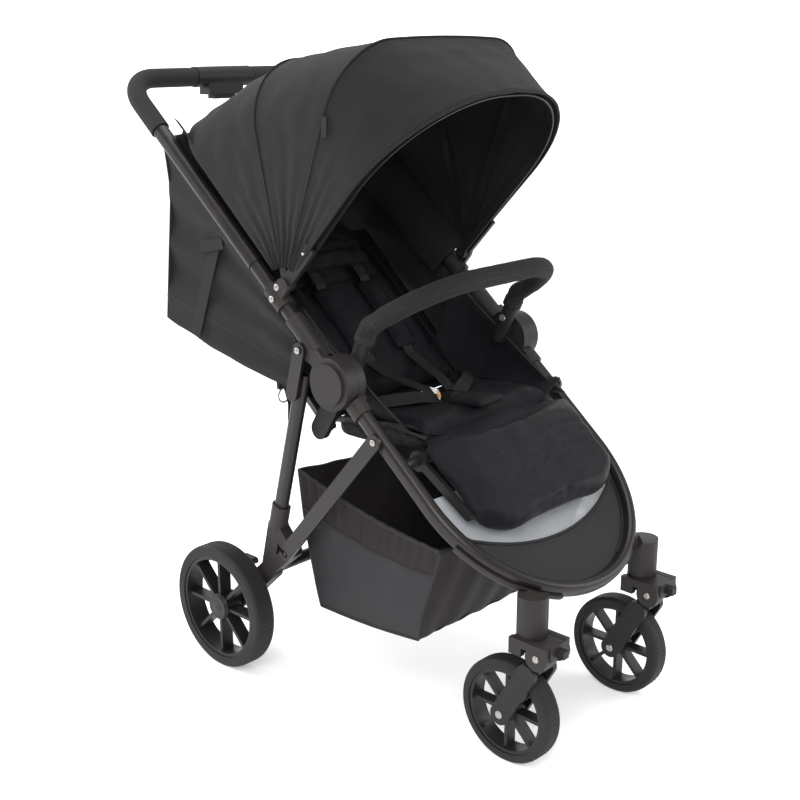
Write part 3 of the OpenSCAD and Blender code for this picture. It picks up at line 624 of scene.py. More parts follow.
def hoop_points(rise, lean, corner, half_w=PANEL_X, foot=FOLD_REACH, count=97, crown=0.003, grow_by=0.0):
    rise, half_w = rise + grow_by, half_w + grow_by
    flat = [(-half_w, foot)]
    for k in range(25):
        a = math.pi - k * math.pi / 48
        flat.append((-half_w + corner + corner * math.cos(a), rise - corner + corner * math.sin(a)))
    flat += [(x, rise + crown * (1 - (x / max(0.02, half_w - corner)) ** 2)) for x in
             np.linspace(-(half_w - corner), half_w - corner, 9)[1:-1]]
    for k in range(25):
        a = math.pi / 2 - k * math.pi / 48
        flat.append((half_w - corner + corner * math.cos(a), rise - corner + corner * math.sin(a)))
    flat.append((half_w, foot))
    ring = resampled([(x, r, 0) for x, r in flat], count)
    return [Vector((p.x, canopy_axis.y - p.y * math.cos(lean), canopy_axis.z + p.y * math.sin(lean))) for p in ring]


CLOTH_GAP = 0.0028
hoops = []
for node, corner in (("rib_front", 0.196), ("rib_middle", 0.108), ("rib_rear", 0.116)):
    rise, lean = hoop_size(node)
    hoops.append((rise + CLOTH_GAP, lean, corner))
rear_lean = math.pi - math.atan2(slope_dir.z, slope_dir.y)
hoops.append((0.373, rear_lean - 0.02, 0.092))
hoop_bodies = ["rib_front", "rib_middle", "rib_rear", "handle"]


def canopy_rows(first, last, start, end, steps, sag):
    rise0, lean0, corner0 = first
    rise1, lean1, corner1 = last
    near = hoop_points(rise0, lean0, corner0)
    far = hoop_points(rise1, lean1, corner1)
    rows = []
    for k in range(steps + 1):
        t = start + (end - start) * k / steps
        row = []
        for c, (a, b) in enumerate(zip(near, far)):
            p = a.lerp(b, t)
            arm = Vector((0, p.y - canopy_axis.y, p.z - canopy_axis.z))
            middle = 4 * t * (1 - t)
            round_out = (a.yz - canopy_axis.yz).length * (1 - t) + (b.yz - canopy_axis.yz).length * t
            rounded = (round_out - arm.length) * 0.30 * max(0.0, middle) ** 0.5 if 0 < t < 1 else 0.0
            tight = arm.length + rounded
            tight -= sag * max(0.0, middle) * (0.6 + 0.4 * wrinkle(p, 9.0, 3.0))
            pucker = 0.0016 * wrinkle(p, 42.0, 1.0) * max(0.0, middle) ** 0.5
            edge = min(c, len(near) - 1 - c) / (len(near) - 1)
            pull = 0.004 * math.exp(-edge / 0.09) * math.sin(t * 22 + wrinkle(p, 20.0)) * max(0.0, middle)
            out = canopy_axis.yz + arm.yz.normalized() * (tight + pucker)
            p = Vector((p.x * (1 + (pull + pucker) / 0.24), *out))
            row.append(p)
        rows.append(row)
    return rows


panel_names = ("canopy_front", "canopy_middle", "canopy_rear")
for k, name in enumerate(panel_names):
    start = -0.045 if k == 0 else 0.0
    rows = canopy_rows(hoops[k], hoops[k + 1], start, 1.0, 26, (0.004, 0.005, 0.005)[k])
    panel = cloth_grid(name + "_cloth", rows, canopy_cloth, thickness=0.0014)
    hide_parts(name)
    declare_sheet(panel)
    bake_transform(panel)
    seam = hoop_points(*hoops[k + 1], grow_by=0.0014)
    if k < 2:
        cord_tube(f"canopy_piping_{k}", seam, 0.0017, canopy_cloth, hoop_bodies[k + 1])


def along_rows(rows, row_index, lift):
    """Points of one row, raised off the cloth, with the cloth's facing at each."""
    row, other = rows[row_index], rows[row_index + (1 if row_index + 1 < len(rows) else -1)]
    result = []
    for c in range(1, len(row) - 1):
        facing = (row[c + 1] - row[c - 1]).cross(other[c] - row[c]).normalized()
        if facing.dot(row[c] - Vector((0, canopy_axis.y, canopy_axis.z - 0.05))) < 0:
            facing = -facing
        result.append((row[c] + facing * lift, facing))
    return result


def stitch_tree():
    tree = bpy.data.node_groups.new("stitches", "GeometryNodeTree")
    tree.is_modifier = True
    tree.interface.new_socket("Geometry", in_out="INPUT", socket_type="NodeSocketGeometry")
    for label, kind in (("Stitch Length", "NodeSocketFloat"), ("Gap", "NodeSocketFloat"),
                        ("Thread Radius", "NodeSocketFloat"), ("Finish", "NodeSocketMaterial")):
        tree.interface.new_socket(label, in_out="INPUT", socket_type=kind)
    tree.interface.new_socket("Geometry", in_out="OUTPUT", socket_type="NodeSocketGeometry")
    given = add_node(tree, "NodeGroupInput")
    path = add_node(tree, "GeometryNodeMeshToCurve", Mesh=given.outputs["Geometry"])
    pitch = add_node(tree, "ShaderNodeMath", {"operation": "ADD"}, _0=given.outputs["Stitch Length"],
                     _1=given.outputs["Gap"])
    spots = add_node(tree, "GeometryNodeCurveToPoints", {"mode": "LENGTH"}, Curve=path.outputs["Curve"])
    tree.links.new(pitch.outputs[0], spots.inputs["Length"])
    one = add_node(tree, "GeometryNodeMeshCylinder", Vertices=6, Radius=given.outputs["Thread Radius"],
                   Depth=given.outputs["Stitch Length"])
    turn = add_node(tree, "FunctionNodeAlignRotationToVector", {"axis": "Z"}, Vector=spots.outputs["Tangent"])
    place = add_node(tree, "GeometryNodeInstanceOnPoints", Points=spots.outputs["Points"],
                     Instance=one.outputs["Mesh"], Rotation=turn.outputs["Rotation"])
    real = add_node(tree, "GeometryNodeRealizeInstances", Geometry=place.outputs["Instances"])
    dressed = add_node(tree, "GeometryNodeSetMaterial", Geometry=real.outputs["Geometry"],
                       Material=given.outputs["Finish"])
    result = add_node(tree, "NodeGroupOutput")
    tree.links.new(dressed.outputs["Geometry"], result.inputs["Geometry"])
    return tree


stitches = stitch_tree()


def stitch_line(name, path, body, length=0.0032, gap=0.0016, radius=0.0004):
    data = bpy.data.meshes.new(name + "_path")
    data.from_pydata([tuple(p) for p in path], [(k, k + 1) for k in range(len(path) - 1)], [])
    seed_piece = bpy.data.objects.new(name + "_path", data)
    scene.collection.objects.link(seed_piece)
    piece = grow(name, seed_piece, stitches, thread, Stitch_Length=length, Gap=gap, Thread_Radius=radius)
    if body:
        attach(piece, body)
    return piece


# A moulded arm grips the lowest stretch of the front hoop on each side, with a bright ring at
# its far end.
for side, sign in SIDES:
    reach_dir = Vector((0, -math.cos(hoops[0][1]), math.sin(hoops[0][1])))
    arm_start = Vector((sign * (PANEL_X - 0.0030), canopy_axis.y, canopy_axis.z)) + reach_dir * 0.012
    arm_end = arm_start + reach_dir * 0.080
    strap(f"hoop_arm_{side}", [arm_start, arm_start.lerp(arm_end, 0.5), arm_end],
          tuple(Vector((1, 0, 0)).cross(reach_dir)), 0.022, 0.0075, black_nylon, "rib_front", count=16)
    lathe(f"hoop_ring_{side}", arm_end - reach_dir * 0.013 + Vector((sign * 0.0040, 0, 0)), sign,
          [(0.0, 0.0012), (0.0040, 0.0012), (0.0044, 0.0024), (0.0066, 0.0024), (0.0074, 0.0)], silver_and_painted_highlight,
          "rib_front")

visor_rows = canopy_rows(hoops[0], hoops[1], -0.045, 1.0, 26, 0.004)
hem_path = [p for p, _ in along_rows(visor_rows, 0, 0.0006)]
cord_tube("visor_hem", hem_path, 0.0022, canopy_cloth, "rib_front")
for k, row_t in enumerate((0.0, 0.012)):
    hem_rows = canopy_rows(hoops[0], hoops[1], -0.045 + 0.035 + row_t * 2, 1.0, 26, 0.004)
    stitch_line(f"visor_stitches_{k}", [p for p, _ in along_rows(hem_rows, 0, 0.0011)], "rib_front")
for k in (1, 2):
    for shift in (-0.03, 0.03):
        base, other = (hoops[k - 1], hoops[k]) if shift < 0 else (hoops[k], hoops[k + 1])
        t = 1 + shift if shift < 0 else shift
        rows = canopy_rows(base, other, t, 1.0 if t < 0.5 else 0.5, 8, 0.004)
        mark = "front" if shift < 0 else "rear"
        stitch_line(f"canopy_stitches_{k}_{mark}", [p for p, _ in along_rows(rows, 0, 0.0011)], hoop_bodies[k])

# A small folded tag of plain woven tape is sewn into the middle hoop's seam.
tag_spot = hoop_points(*hoops[1], grow_by=0.003)[22]
strap("seam_tag", [tag_spot + Vector((-0.0015, -0.004, 0)), tag_spot + Vector((-0.0022, -0.004, -0.030))],
      (0, 1, 0.2), 0.011, 0.0008, webbing, "rib_middle", count=8)

# --- Back curtain ---------------------------------------------------------------------------
# Cloth walls hang between the handle tubes and the reclined back, and close the seat's rear
# end. A wide webbing band runs down each side through a ribbed keeper.
curtain_low, curtain_high = (Vector(c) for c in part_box("back_curtain"))
back_corner = Vector((0, curtain_high.y - 0.001, curtain_low.z + 0.076))
top_front = on_slope(0.2575 * handle_run, 0.0)
top_rear = on_slope(0.79 * handle_run, 0.0)
bottom_front = Vector((0, curtain_low.y + 0.010, curtain_low.z + 0.002))
rear_top = Vector(top_rear)


def side_wall(sign):
    rows = []
    for r in range(31):
        t = r / 30
        row = []
        for c in range(49):
            s = c / 48
            top = top_front.lerp(top_rear, s)
            low = bottom_front.lerp(back_corner, s)
            low.z -= 0.010 * math.sin(math.pi * s)
            p = top.lerp(low, t)
            p.z += 0.002 * wrinkle((s * 0.4, t * 0.3, 0), 30.0)
            hollow = 0.010 * math.sin(math.pi * t) * (0.6 + 0.4 * wrinkle((s * 0.5, t * 0.35, sign), 12.0))
            fold = (0.0045 * math.sin(7 * math.pi * (t - 0.18 * s) + 0.8 * math.sin(5 * s))
                    * math.sin(math.pi * t) ** 0.5)
            x = PANEL_X - 0.0165 * min(1.0, t * 3.5) - 0.014 * t - hollow + fold
            row.append(Vector((sign * x, p.y, p.z)))
        rows.append(row)
    return rows if sign > 0 else [row[::-1] for row in rows]


for side, sign in SIDES:
    wall = cloth_grid(f"side_curtain_{side}", side_wall(sign), canopy_cloth)
    declare_sheet(wall)
    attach(wall, "handle")
    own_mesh(wall)
    seam = [Vector((sign * 0.1975, *(bottom_front.lerp(back_corner, s) + Vector((0, 0, 0.038 + 0.01 * s))).yz))
            for s in np.linspace(0.12, 0.98, 30)]
    line = stitch_line(f"curtain_stitches_{side}", seam, "handle")
    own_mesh(line)

rear_rows = []
for r in range(31):
    t = r / 30
    row = []
    for c in range(57):
        s = c / 56
        x = (s - 0.5) * 2
        high = rear_top + Vector((0, 0.0, 0.012 * (1 - x * x)))
        p = high.lerp(back_corner, t)
        belly = 0.012 * math.sin(math.pi * t) * (0.4 + 0.6 * (1 - x * x))
        fold = 0.004 * math.sin(7 * math.pi * s + 1.5 * t) * math.sin(math.pi * t)
        row.append(Vector((x * (PANEL_X - 0.0165 * min(1.0, t * 3.5) - 0.014 * t), p.y - belly + fold, p.z)))
    rear_rows.append(row)
rear_wall = cloth_grid("rear_curtain", rear_rows, canopy_cloth)
declare_sheet(rear_wall)
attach(rear_wall, "handle")
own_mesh(rear_wall)
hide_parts("back_curtain")
for side, sign in SIDES:
    band_top = on_slope(0.53 * handle_run, -0.010)
    band_low = Vector((0, band_top.y + 0.098, curtain_low.z + 0.060))
    band = [Vector((sign * (0.2085 - 0.010 * t), *band_top.yz.lerp(band_low.yz, t))) for t in np.linspace(0, 1, 12)]
    piece = strap(f"side_band_{side}", band, (0, 1, 0.35), 0.026, 0.0016, webbing, "handle")
    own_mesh(piece)
    keeper = [Vector((sign * (0.2100), band[3].y - 0.030 + 0.060 * t, band[3].z + 0.016 - 0.012 * t)) for t in
              np.linspace(0, 1, 6)]
    piece = strap(f"band_keeper_{side}", keeper, (0, 0.2, 1), 0.020, 0.0016, webbing, "handle", count=12)
    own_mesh(piece)

# --- Padded pieces --------------------------------------------------------------------------
# The seat, back, headrest and legrest are sewn cloth shells over foam and wadding. Each is
# blown out from a rounded blank, then pinched along its seams and quilted channels.
def pad_blank(name, start, end, width, thick, finish, voxel=0.005, round_off=0.45):
    along = (end - start)
    length = along.length
    along = along.normalized()
    across = Vector((1, 0, 0))
    up = across.cross(along).normalized()
    if up.z < 0:
        up = -up
    points, faces = [], []
    for a, b, c in ((0, 0, 0), (1, 0, 0), (1, 1, 0), (0, 1, 0), (0, 0, 1), (1, 0, 1), (1, 1, 1), (0, 1, 1)):
        points.append(start + along * length * a + across * width * (b - 0.5) + up * thick * (c - 0.5))
    faces = [(0, 3, 2, 1), (4, 5, 6, 7), (0, 1, 5, 4), (1, 2, 6, 5), (2, 3, 7, 6), (3, 0, 4, 7)]
    piece = mesh_piece(name, points, faces, finish)
    bevel = piece.modifiers.new("round", "BEVEL")
    bevel.width = thick * round_off
    bevel.segments = 5
    remesh = piece.modifiers.new("remesh", "REMESH")
    remesh.mode = "VOXEL"
    remesh.voxel_size = voxel
    bake(piece)
    piece["basis"] = [*start, *along, *up, length]
    return piece


def bake(piece):
    seen = piece.evaluated_get(bpy.context.evaluated_depsgraph_get())
    data = bpy.data.meshes.new_from_object(seen)
    old = piece.data
    piece.modifiers.clear()
    piece.data = data
    data.name = piece.name
    if not data.materials and old.materials:
        data.materials.append(old.materials[0])
    bpy.data.meshes.remove(old)
    data.polygons.foreach_set("use_smooth", [True] * len(data.polygons))


def swell(piece, cap, pressure=4.0, frames=20):
    """Blows a pad out with Cloth pressure; no point moves further than cap."""
    rest = np.array([v.co for v in piece.data.vertices])
    cloth = piece.modifiers.new("swell", "CLOTH")
    cloth.settings.quality = 5
    cloth.settings.mass = 0.3
    cloth.settings.use_pressure = True
    cloth.settings.uniform_pressure_force = pressure
    cloth.settings.effector_weights.gravity = 0
    cloth.point_cache.frame_start, cloth.point_cache.frame_end = 1, frames
    for frame_number in range(1, frames + 1):
        scene.frame_set(frame_number)
    seen = piece.evaluated_get(bpy.context.evaluated_depsgraph_get())
    blown = np.array([v.co for v in seen.to_mesh().vertices])
    seen.to_mesh_clear()
    piece.modifiers.clear()
    move = blown - rest
    far = np.linalg.norm(move, axis=1, keepdims=True)
    move *= np.minimum(1, cap / np.maximum(far, 1e-9))
    piece.data.vertices.foreach_set("co", (rest + move).ravel())
    scene.frame_set(1)


def sculpt(piece, shape):
    """Moves points by a function of (s, x, n): along the pad, across it and through it."""
    values = list(piece["basis"])
    start, along, up, length = (np.array(values[0:3]), np.array(values[3:6]), np.array(values[6:9]), values[9])
    co = np.array([v.co for v in piece.data.vertices])
    local = co - start
    s, n, x = local @ along, local @ up, co[:, 0]
    ds, dx, dn = shape(s / length, x, n)
    co = co + np.outer(ds, along) + np.outer(dn, up)
    co[:, 0] += dx
    piece.data.vertices.foreach_set("co", co.ravel())
    piece.data.update()


def groove(distance, width, depth):
    return -depth * np.exp(-(distance / width) ** 2)


def finish_pad(piece, body, node):
    smooth = piece.modifiers.new("soften", "SMOOTH")
    smooth.factor, smooth.iterations = 0.5, 3
    subdivide = piece.modifiers.new("round_off", "SUBSURF")
    subdivide.levels = subdivide.render_levels = 1
    bake(piece)
    if node:
        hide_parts(*([node] if isinstance(node, str) else node))
    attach(piece, body)
    return piece


def crumple(s, x, size):
    return size * (np.sin(31 * s + 5 * np.sin(14 * x)) * np.sin(38 * x + 4 * np.sin(9 * s))
                   + 0.6 * np.sin(70 * x + 11 * s) * np.sin(23 * s + 3))


legrest_pivot = joint_point("legrest_raise")
axle_y = joint_point("rear_wheel_left_spin").y


def spot(x, y, z):
    return Vector((x, axle_y + y, z))


seat_low, seat_high = (Vector(c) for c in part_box("seat_cushion"))
seat_start = Vector((0, seat_high.y - 0.006, seat_low.z + 0.013))
seat_end = Vector((0, seat_low.y + 0.002, seat_high.z - 0.016))
seat = pad_blank("seat_pad", seat_start, seat_end, 0.330, 0.028, seat_satin_and_shade)
swell(seat, 0.010)


def seat_shape(s, x, n):
    top = n > 0
    front = np.clip((s - 0.6) / 0.4, 0, 1)
    dn = np.where(top, crumple(s, x, 0.0012) + groove(s - 0.50, 0.025, 0.003)
                  + 0.007 * np.exp(-((np.abs(x) - 0.155) / 0.03) ** 2) * (1 - 0.6 * front), 0)
    return np.zeros_like(s), np.zeros_like(s), dn


sculpt(seat, seat_shape)
finish_pad(seat, "front_frame", "seat_cushion")

leg_low = Vector(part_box("legrest_pad")[0])
leg_start = Vector((0, seat_low.y - 0.008, seat_high.z - 0.017))
leg_end = Vector((0, leg_low.y + 0.006, leg_low.z + 0.012))
legrest = pad_blank("legrest_cushion", leg_start, leg_end, 0.356, 0.030, seat_satin_and_shade)
swell(legrest, 0.014)


def legrest_shape(s, x, n):
    top = n > 0
    corner = np.clip((s - 0.72) / 0.28, 0, 1) * np.clip((np.abs(x) - 0.09) / 0.088, 0, 1) ** 2
    gathers = 0.0016 * np.sin(x * 210 + 3 * np.sin(x * 40)) * np.exp(-((s - 0.97) / 0.10) ** 2)
    pulls = 0.0012 * np.sin(s * 60 + 4 * np.sin(s * 13)) * np.exp(-((np.abs(x) - 0.175) / 0.02) ** 2)
    dn = np.where(top, crumple(s, x, 0.0009) + gathers + pulls + 0.006 * np.sin(np.pi * np.clip(s, 0, 1)) ** 0.6
                  - 0.004 * np.exp(-(s / 0.03) ** 2), 0)
    return -0.050 * corner, -0.022 * np.sign(x) * corner, dn


sculpt(legrest, legrest_shape)
finish_pad(legrest, "legrest", "legrest_pad")

back_low_box, back_high_box = (Vector(c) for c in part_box("backrest_pad"))
back_start = Vector((0, back_low_box.y + 0.0151, back_low_box.z + 0.0151))
back_end = Vector((0, back_high_box.y - 0.0151, back_high_box.z - 0.0151))
back_dir = (back_end - back_start).normalized()
back_up = Vector((0, -back_dir.z, back_dir.y))
backrest = pad_blank("backrest_cushion", back_start - back_dir * 0.034, back_end - back_dir * 0.006, 0.272, 0.026,
                     seat_satin_and_shade)
swell(backrest, 0.009)


def back_shape(s, x, n):
    top = n > 0
    arch = np.clip((s - 0.80) / 0.20, 0, 1)
    channels = sum(groove(np.abs(x) - place, 0.004, 0.006) for place in (0.086, 0.110))
    dn = np.where(top, crumple(s, x, 0.0012) + channels * (s < 0.86) + groove(s - 0.62, 0.012, 0.004), 0)
    return np.zeros_like(s), x * (np.sqrt(np.maximum(0.12, 1 - 0.62 * arch ** 2.4)) - 1), dn


sculpt(backrest, back_shape)
finish_pad(backrest, "backrest", "backrest_pad")


def on_back(s, x, n):
    return back_start + back_dir * s + back_up * n + Vector((x, 0, 0))


headrest = pad_blank("headrest_cushion", on_back(0.226, 0, 0.026), on_back(0.325, 0, 0.028), 0.196, 0.024, seat_satin_and_shade,
                     voxel=0.004)
swell(headrest, 0.008)
sculpt(headrest, lambda s, x, n: (np.zeros_like(s),
                                  -0.034 * np.sign(x) * np.clip(s - 0.45, 0, 1) * (np.abs(x) > 0.05),
                                  np.where(n > 0, groove(np.abs(x) - 0.055, 0.005, 0.007) + crumple(s, x, 0.001)
                                           + groove(s - 0.35, 0.05, 0.004), 0)))
finish_pad(headrest, "backrest", "headrest")
edge = [on_back(s, x, 0.015) for s, x in ((-0.03, -0.136), (0.10, -0.136), (0.22, -0.134), (0.27, -0.126),
                                          (0.31, -0.108), (0.335, -0.082), (0.345, -0.05), (0.345, 0.05),
                                          (0.335, 0.082), (0.31, 0.108), (0.27, 0.126), (0.22, 0.134),
                                          (0.10, 0.136), (-0.03, 0.136))]
cord_tube("backrest_piping", edge, 0.0024, seat_satin_and_shade, "backrest", count=120)
for side, sign in SIDES:
    pad = pad_blank(f"shoulder_pad_{side}", on_back(0.040, 0, 0.026), on_back(0.192, 0, 0.026), 0.047, 0.014,
                    seat_satin_and_shade, voxel=0.003)
    swell(pad, 0.004)
    sculpt(pad, lambda s, x, n: (0 * s, sign * (0.049 + 0.006 * s) + 0 * s, np.where(n > 0, groove(
        np.abs(x) - 0.019, 0.002, 0.003) + crumple(s, x, 0.0007) + 0.004 * np.sin(np.pi * np.clip(s, 0, 1)), 0)))
    finish_pad(pad, "backrest", "shoulder_pads" if side == "right" else None)
    over = [on_back(s, sign * x, n) for s, x, n in ((0.250, 0.051, 0.026), (0.222, 0.053, 0.034),
                                                     (0.198, 0.054, 0.033), (0.188, 0.054, 0.028))]
    strap(f"harness_{side}", over, (1, 0, 0), 0.022, 0.0018, webbing, "backrest")
    label = [on_back(0.098, sign * 0.052 + 0.012, 0.0385), on_back(0.106, sign * 0.052 + 0.012, 0.0385)]
    strap(f"pad_label_{side}", label, (1, 0, 0), 0.010, 0.0006, thread, "backrest", count=4)

# Cloth runs unbroken over the knee fold, from the seat to the legrest.
fold_line = [Vector((0, legrest_pivot.y + dy, legrest_pivot.z + dz)) for dy, dz in
             ((0.040, 0.030), (0.014, 0.033), (-0.010, 0.026), (-0.030, 0.013), (-0.050, -0.008))]
knee_rows = [[Vector((x, p.y, p.z + 0.0015 * wrinkle((x, p.y, 0), 14.0))) for x in np.linspace(-0.166, 0.166, 41)]
             for p in resampled(fold_line, 15)]
knee_cloth = cloth_grid("knee_cloth", knee_rows, seat_satin_and_shade)
declare_sheet(knee_cloth)
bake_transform(knee_cloth)

# A thin lining closes the space between the pads and the frame: behind the back, under the
# seat, and up each side to the canopy.
back_liner = cloth_grid("back_liner", [[on_back(t, x, -0.010 + 0.002 * wrinkle((x, t, 0), 11.0)) for x in
                                        np.linspace(-0.186, 0.186, 41)] for t in np.linspace(-0.035, 0.33, 33)],
                        seat_satin_and_shade)
declare_sheet(back_liner)
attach(back_liner, "backrest")
seat_liner = cloth_grid("seat_liner", [[seat_start.lerp(seat_end, t)
                                        + Vector((x, 0, 0.034 * abs(x / 0.190) ** 5 - 0.004))
                                        for x in np.linspace(-0.190, 0.190, 41)]
                                       for t in np.linspace(-0.08, 1.0, 25)],
                        seat_satin_and_shade)
declare_sheet(seat_liner)
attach(seat_liner, "front_frame")
for side, sign in SIDES:
    rows = []
    for t in np.linspace(0, 1, 17):
        depth = 0.046 - 0.078 * t
        row = [on_slope(s * handle_run, depth, sign * (0.2190 - 0.034 * math.sin(min(1.0, t * 2.0) * math.pi / 2)
                                                       + 0.0018 * math.sin(30 * s) * t))
               for s in np.linspace(0.27, 0.79, 49)]
        rows.append(row if sign > 0 else row[::-1])
    liner = cloth_grid(f"side_liner_{side}", rows, canopy_cloth)
    declare_sheet(liner)
    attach(liner, "handle")

# --- Harness --------------------------------------------------------------------------------
# Five straps of ribbed webbing meet in a moulded buckle over a padded crotch piece.
buckle_low, buckle_high = (Vector(c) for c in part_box("buckle"))
buckle_mid = (buckle_low + buckle_high) / 2
for side, sign in SIDES:
    lap = [Vector((sign * 0.150, buckle_mid.y + 0.075, buckle_mid.z - 0.008)),
           Vector((sign * 0.110, buckle_mid.y + 0.055, buckle_mid.z + 0.006)),
           Vector((sign * 0.060, buckle_mid.y + 0.022, buckle_mid.z + 0.010)),
           Vector((sign * 0.020, buckle_mid.y + 0.004, buckle_mid.z + 0.004))]
    strap(f"lap_strap_{side}", lap, (0, 0.8, 0.5), 0.024, 0.0016, webbing, "front_frame")
    rise_path = [Vector((sign * 0.018, buckle_mid.y + 0.016, buckle_mid.z + 0.008)),
                 Vector((sign * 0.034, buckle_mid.y + 0.055, buckle_mid.z + 0.020)),
                 Vector((sign * 0.046, buckle_mid.y + 0.100, buckle_mid.z + 0.030)),
                 on_back(0.030, sign * 0.049, 0.024), on_back(0.046, sign * 0.049, 0.030)]
    shoulder = strap(f"shoulder_strap_{side}", rise_path, (1, 0, 0), 0.022, 0.0016, webbing)
    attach(shoulder, "front_frame")
crotch_start = Vector((0, buckle_low.y + 0.004, buckle_mid.z + 0.004))
crotch_end = Vector((0, buckle_low.y - 0.066, seat_high.z + 0.013))
crotch = pad_blank("crotch_pad", crotch_start, crotch_end, 0.062, 0.012, seat_satin_and_shade, voxel=0.003)
swell(crotch, 0.004)
finish_pad(crotch, "front_frame", None)
# Care tag: two small folded tapes, plain and blank.
tag_base = Vector((-0.043, buckle_mid.y - 0.012, buckle_mid.z + 0.014))
tag_white = woven("tag_white", (0.62, 0.62, 0.60), (0.75, 0.75, 0.73), 0.6, 0.8, 6000.0, 0.2, 0.0006)
tag_orange = woven("tag_orange", (0.75, 0.26, 0.03), (0.85, 0.33, 0.05), 0.6, 0.8, 6000.0, 0.2, 0.0006)
strap("care_tag", [tag_base, tag_base + Vector((-0.006, 0.002, 0.010)), tag_base + Vector((-0.015, 0.004, 0.014))],
      (0.8, 0.5, 0), 0.018, 0.0008, tag_white, "front_frame", count=10)
strap("care_tag_edge", [tag_base + Vector((-0.002, -0.003, 0.001)), tag_base + Vector((-0.008, -0.001, 0.0105))],
      (0.8, 0.5, 0), 0.009, 0.0010, tag_orange, "front_frame", count=8)

# --- Side wings -----------------------------------------------------------------------------
# Cloth gussets close the gap between the seat's sides and the frame tubes beside the hubs,
# with a stitched edge along the tube.
for side, sign in SIDES:
    outer = [spot(sign * 0.187, -0.150, 0.662), spot(sign * 0.187, -0.205, 0.618), spot(sign * 0.187, -0.250, 0.589),
             spot(sign * 0.186, -0.320, 0.540), spot(sign * 0.184, -0.380, 0.503), spot(sign * 0.178, -0.412, 0.496)]
    inner = [spot(sign * 0.128, -0.150, 0.545), spot(sign * 0.146, -0.185, 0.502), spot(sign * 0.158, -0.230, 0.493),
             spot(sign * 0.160, -0.300, 0.494), spot(sign * 0.162, -0.360, 0.497), spot(sign * 0.164, -0.404, 0.498)]
    outer, inner = resampled(outer, 40), resampled(inner, 40)
    rows = []
    for r in range(15):
        t = r / 14
        row = []
        for c in range(40):
            p = outer[c].lerp(inner[c], t)
            p.x += sign * 0.008 * math.sin(math.pi * t) * math.sin(math.pi * c / 39) ** 0.5
            p.z -= 0.006 * math.sin(math.pi * t) * math.sin(math.pi * c / 39) ** 0.5
            p.z += 0.0016 * math.sin(c * 0.5 + 4 * t) * math.sin(math.pi * t)
            row.append(p)
        rows.append(row if sign > 0 else row[::-1])
    wing = cloth_grid(f"side_wing_{side}", rows, seat_satin_and_shade)
    declare_sheet(wing)
    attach(wing, "front_frame")
    cord_tube(f"wing_binding_{side}", [p + Vector((0, 0, 0.001)) for p in outer], 0.0022, webbing, "front_frame")

# --- Bumper bar -----------------------------------------------------------------------------
# A bowed bar across the seat in a foam sleeve, covered in cloth that gathers at both ends
# where a sewn cuff closes on the plastic plug.
bumper_side, bumper_corner, bumper_radius = 0.185, 0.120, 0.0155
socket = spot(0, -0.270, 0.593)
lean = math.radians(24.3)
bumper_up = Vector((0, -math.sin(lean), math.cos(lean)))
knee = socket + bumper_up * 0.068
fall = math.radians(33)
forward = Vector((0, -math.cos(fall), math.sin(fall)))
knee_x = bumper_side
bar_path = []
for k in range(13):
    bar_path.append(Vector((knee_x, *(socket + bumper_up * (0.042 + 0.026 * k / 12)).yz)))
for k in range(1, 4):
    bar_path.append(Vector((knee_x, *(knee + forward * 0.014 * k / 3).yz)))
for k in range(1, 25):
    a = math.pi / 2 * k / 24
    bar_path.append(Vector((knee_x - bumper_corner * (1 - math.cos(a)),
                            *(knee + forward * (0.014 + bumper_corner * math.sin(a))).yz)))
bar_path += [Vector((-p.x, p.y, p.z)) for p in reversed(bar_path)]
bar_path = resampled(bar_path, 260)


def bumper_reach(t):
    end = min(t, 1 - t)
    gather = math.exp(-((end - 0.085) / 0.018) ** 2) + 0.7 * math.exp(-((end - 0.035) / 0.014) ** 2)
    return bumper_radius + 0.0008 - 0.0012 * gather - 0.0035 * max(0, 1 - end / 0.008)


cover = cord_tube("bumper_cover", bar_path, bumper_reach, canopy_cloth, sides=36)
for vertex in cover.data.vertices:
    k, c = divmod(vertex.index, 36)
    end = min(k, 259 - k) / 259
    pleats = math.exp(-((end - 0.06) / 0.045) ** 2)
    ripple = 0.0007 * pleats * math.sin(c * 2 * math.pi * 9 / 36 + 5 * math.sin(k * 0.12)) + 0.0003 * wrinkle(
        vertex.co, 90.0)
    vertex.co += vertex.normal * ripple
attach(cover, "bumper")
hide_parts("bumper_bar")
for name, share in (("cuff", 0.012), ("band", 0.080)):
    for side, sign in SIDES:
        index = int(share * 259) if sign > 0 else 259 - int(share * 259)
        around = bar_path[max(0, index - 3):index + 4]
        grow_by = 0.0006 if name == "cuff" else 0.0002
        ring = cord_tube(f"bumper_{name}_{side}", around, bumper_reach(share) + grow_by, webbing, "bumper", sides=28)
seam_path = [p + Vector((0, 0, -1)).cross((bar_path[min(k + 1, 259)] - bar_path[max(k - 1, 0)]).normalized())
             .normalized() * -bumper_reach(k / 259) for k, p in enumerate(bar_path) if 8 < k < 251]
stitch_line("bumper_seam", seam_path, "bumper")

# --- Footrest and front mesh ----------------------------------------------------------------
# A stiff crescent of coated cloth fills the bow of the front tube; pale knitted mesh is sewn
# to its upper edge and stretched across the frame above it.
knit, knit_in, knit_out = shader_group("knit_loops", [("Scale", "NodeSocketFloat", 900.0)],
                                       [("Open", "NodeSocketFloat"), ("Height", "NodeSocketFloat")])
uv = add_node(knit, "ShaderNodeUVMap", {"uv_map": "cloth"})
cells = add_node(knit, "ShaderNodeTexVoronoi", {"voronoi_dimensions": "2D", "feature": "F1"}, Randomness=0.12)
knit.links.new(uv.outputs["UV"], cells.inputs["Vector"])
knit.links.new(knit_in.outputs["Scale"], cells.inputs["Scale"])
hole = add_node(knit, "ShaderNodeMath", {"operation": "LESS_THAN"}, _1=0.30)
knit.links.new(cells.outputs["Distance"], hole.inputs[0])
knit.links.new(hole.outputs["Value"], knit_out.inputs["Open"])
knit.links.new(cells.outputs["Distance"], knit_out.inputs["Height"])


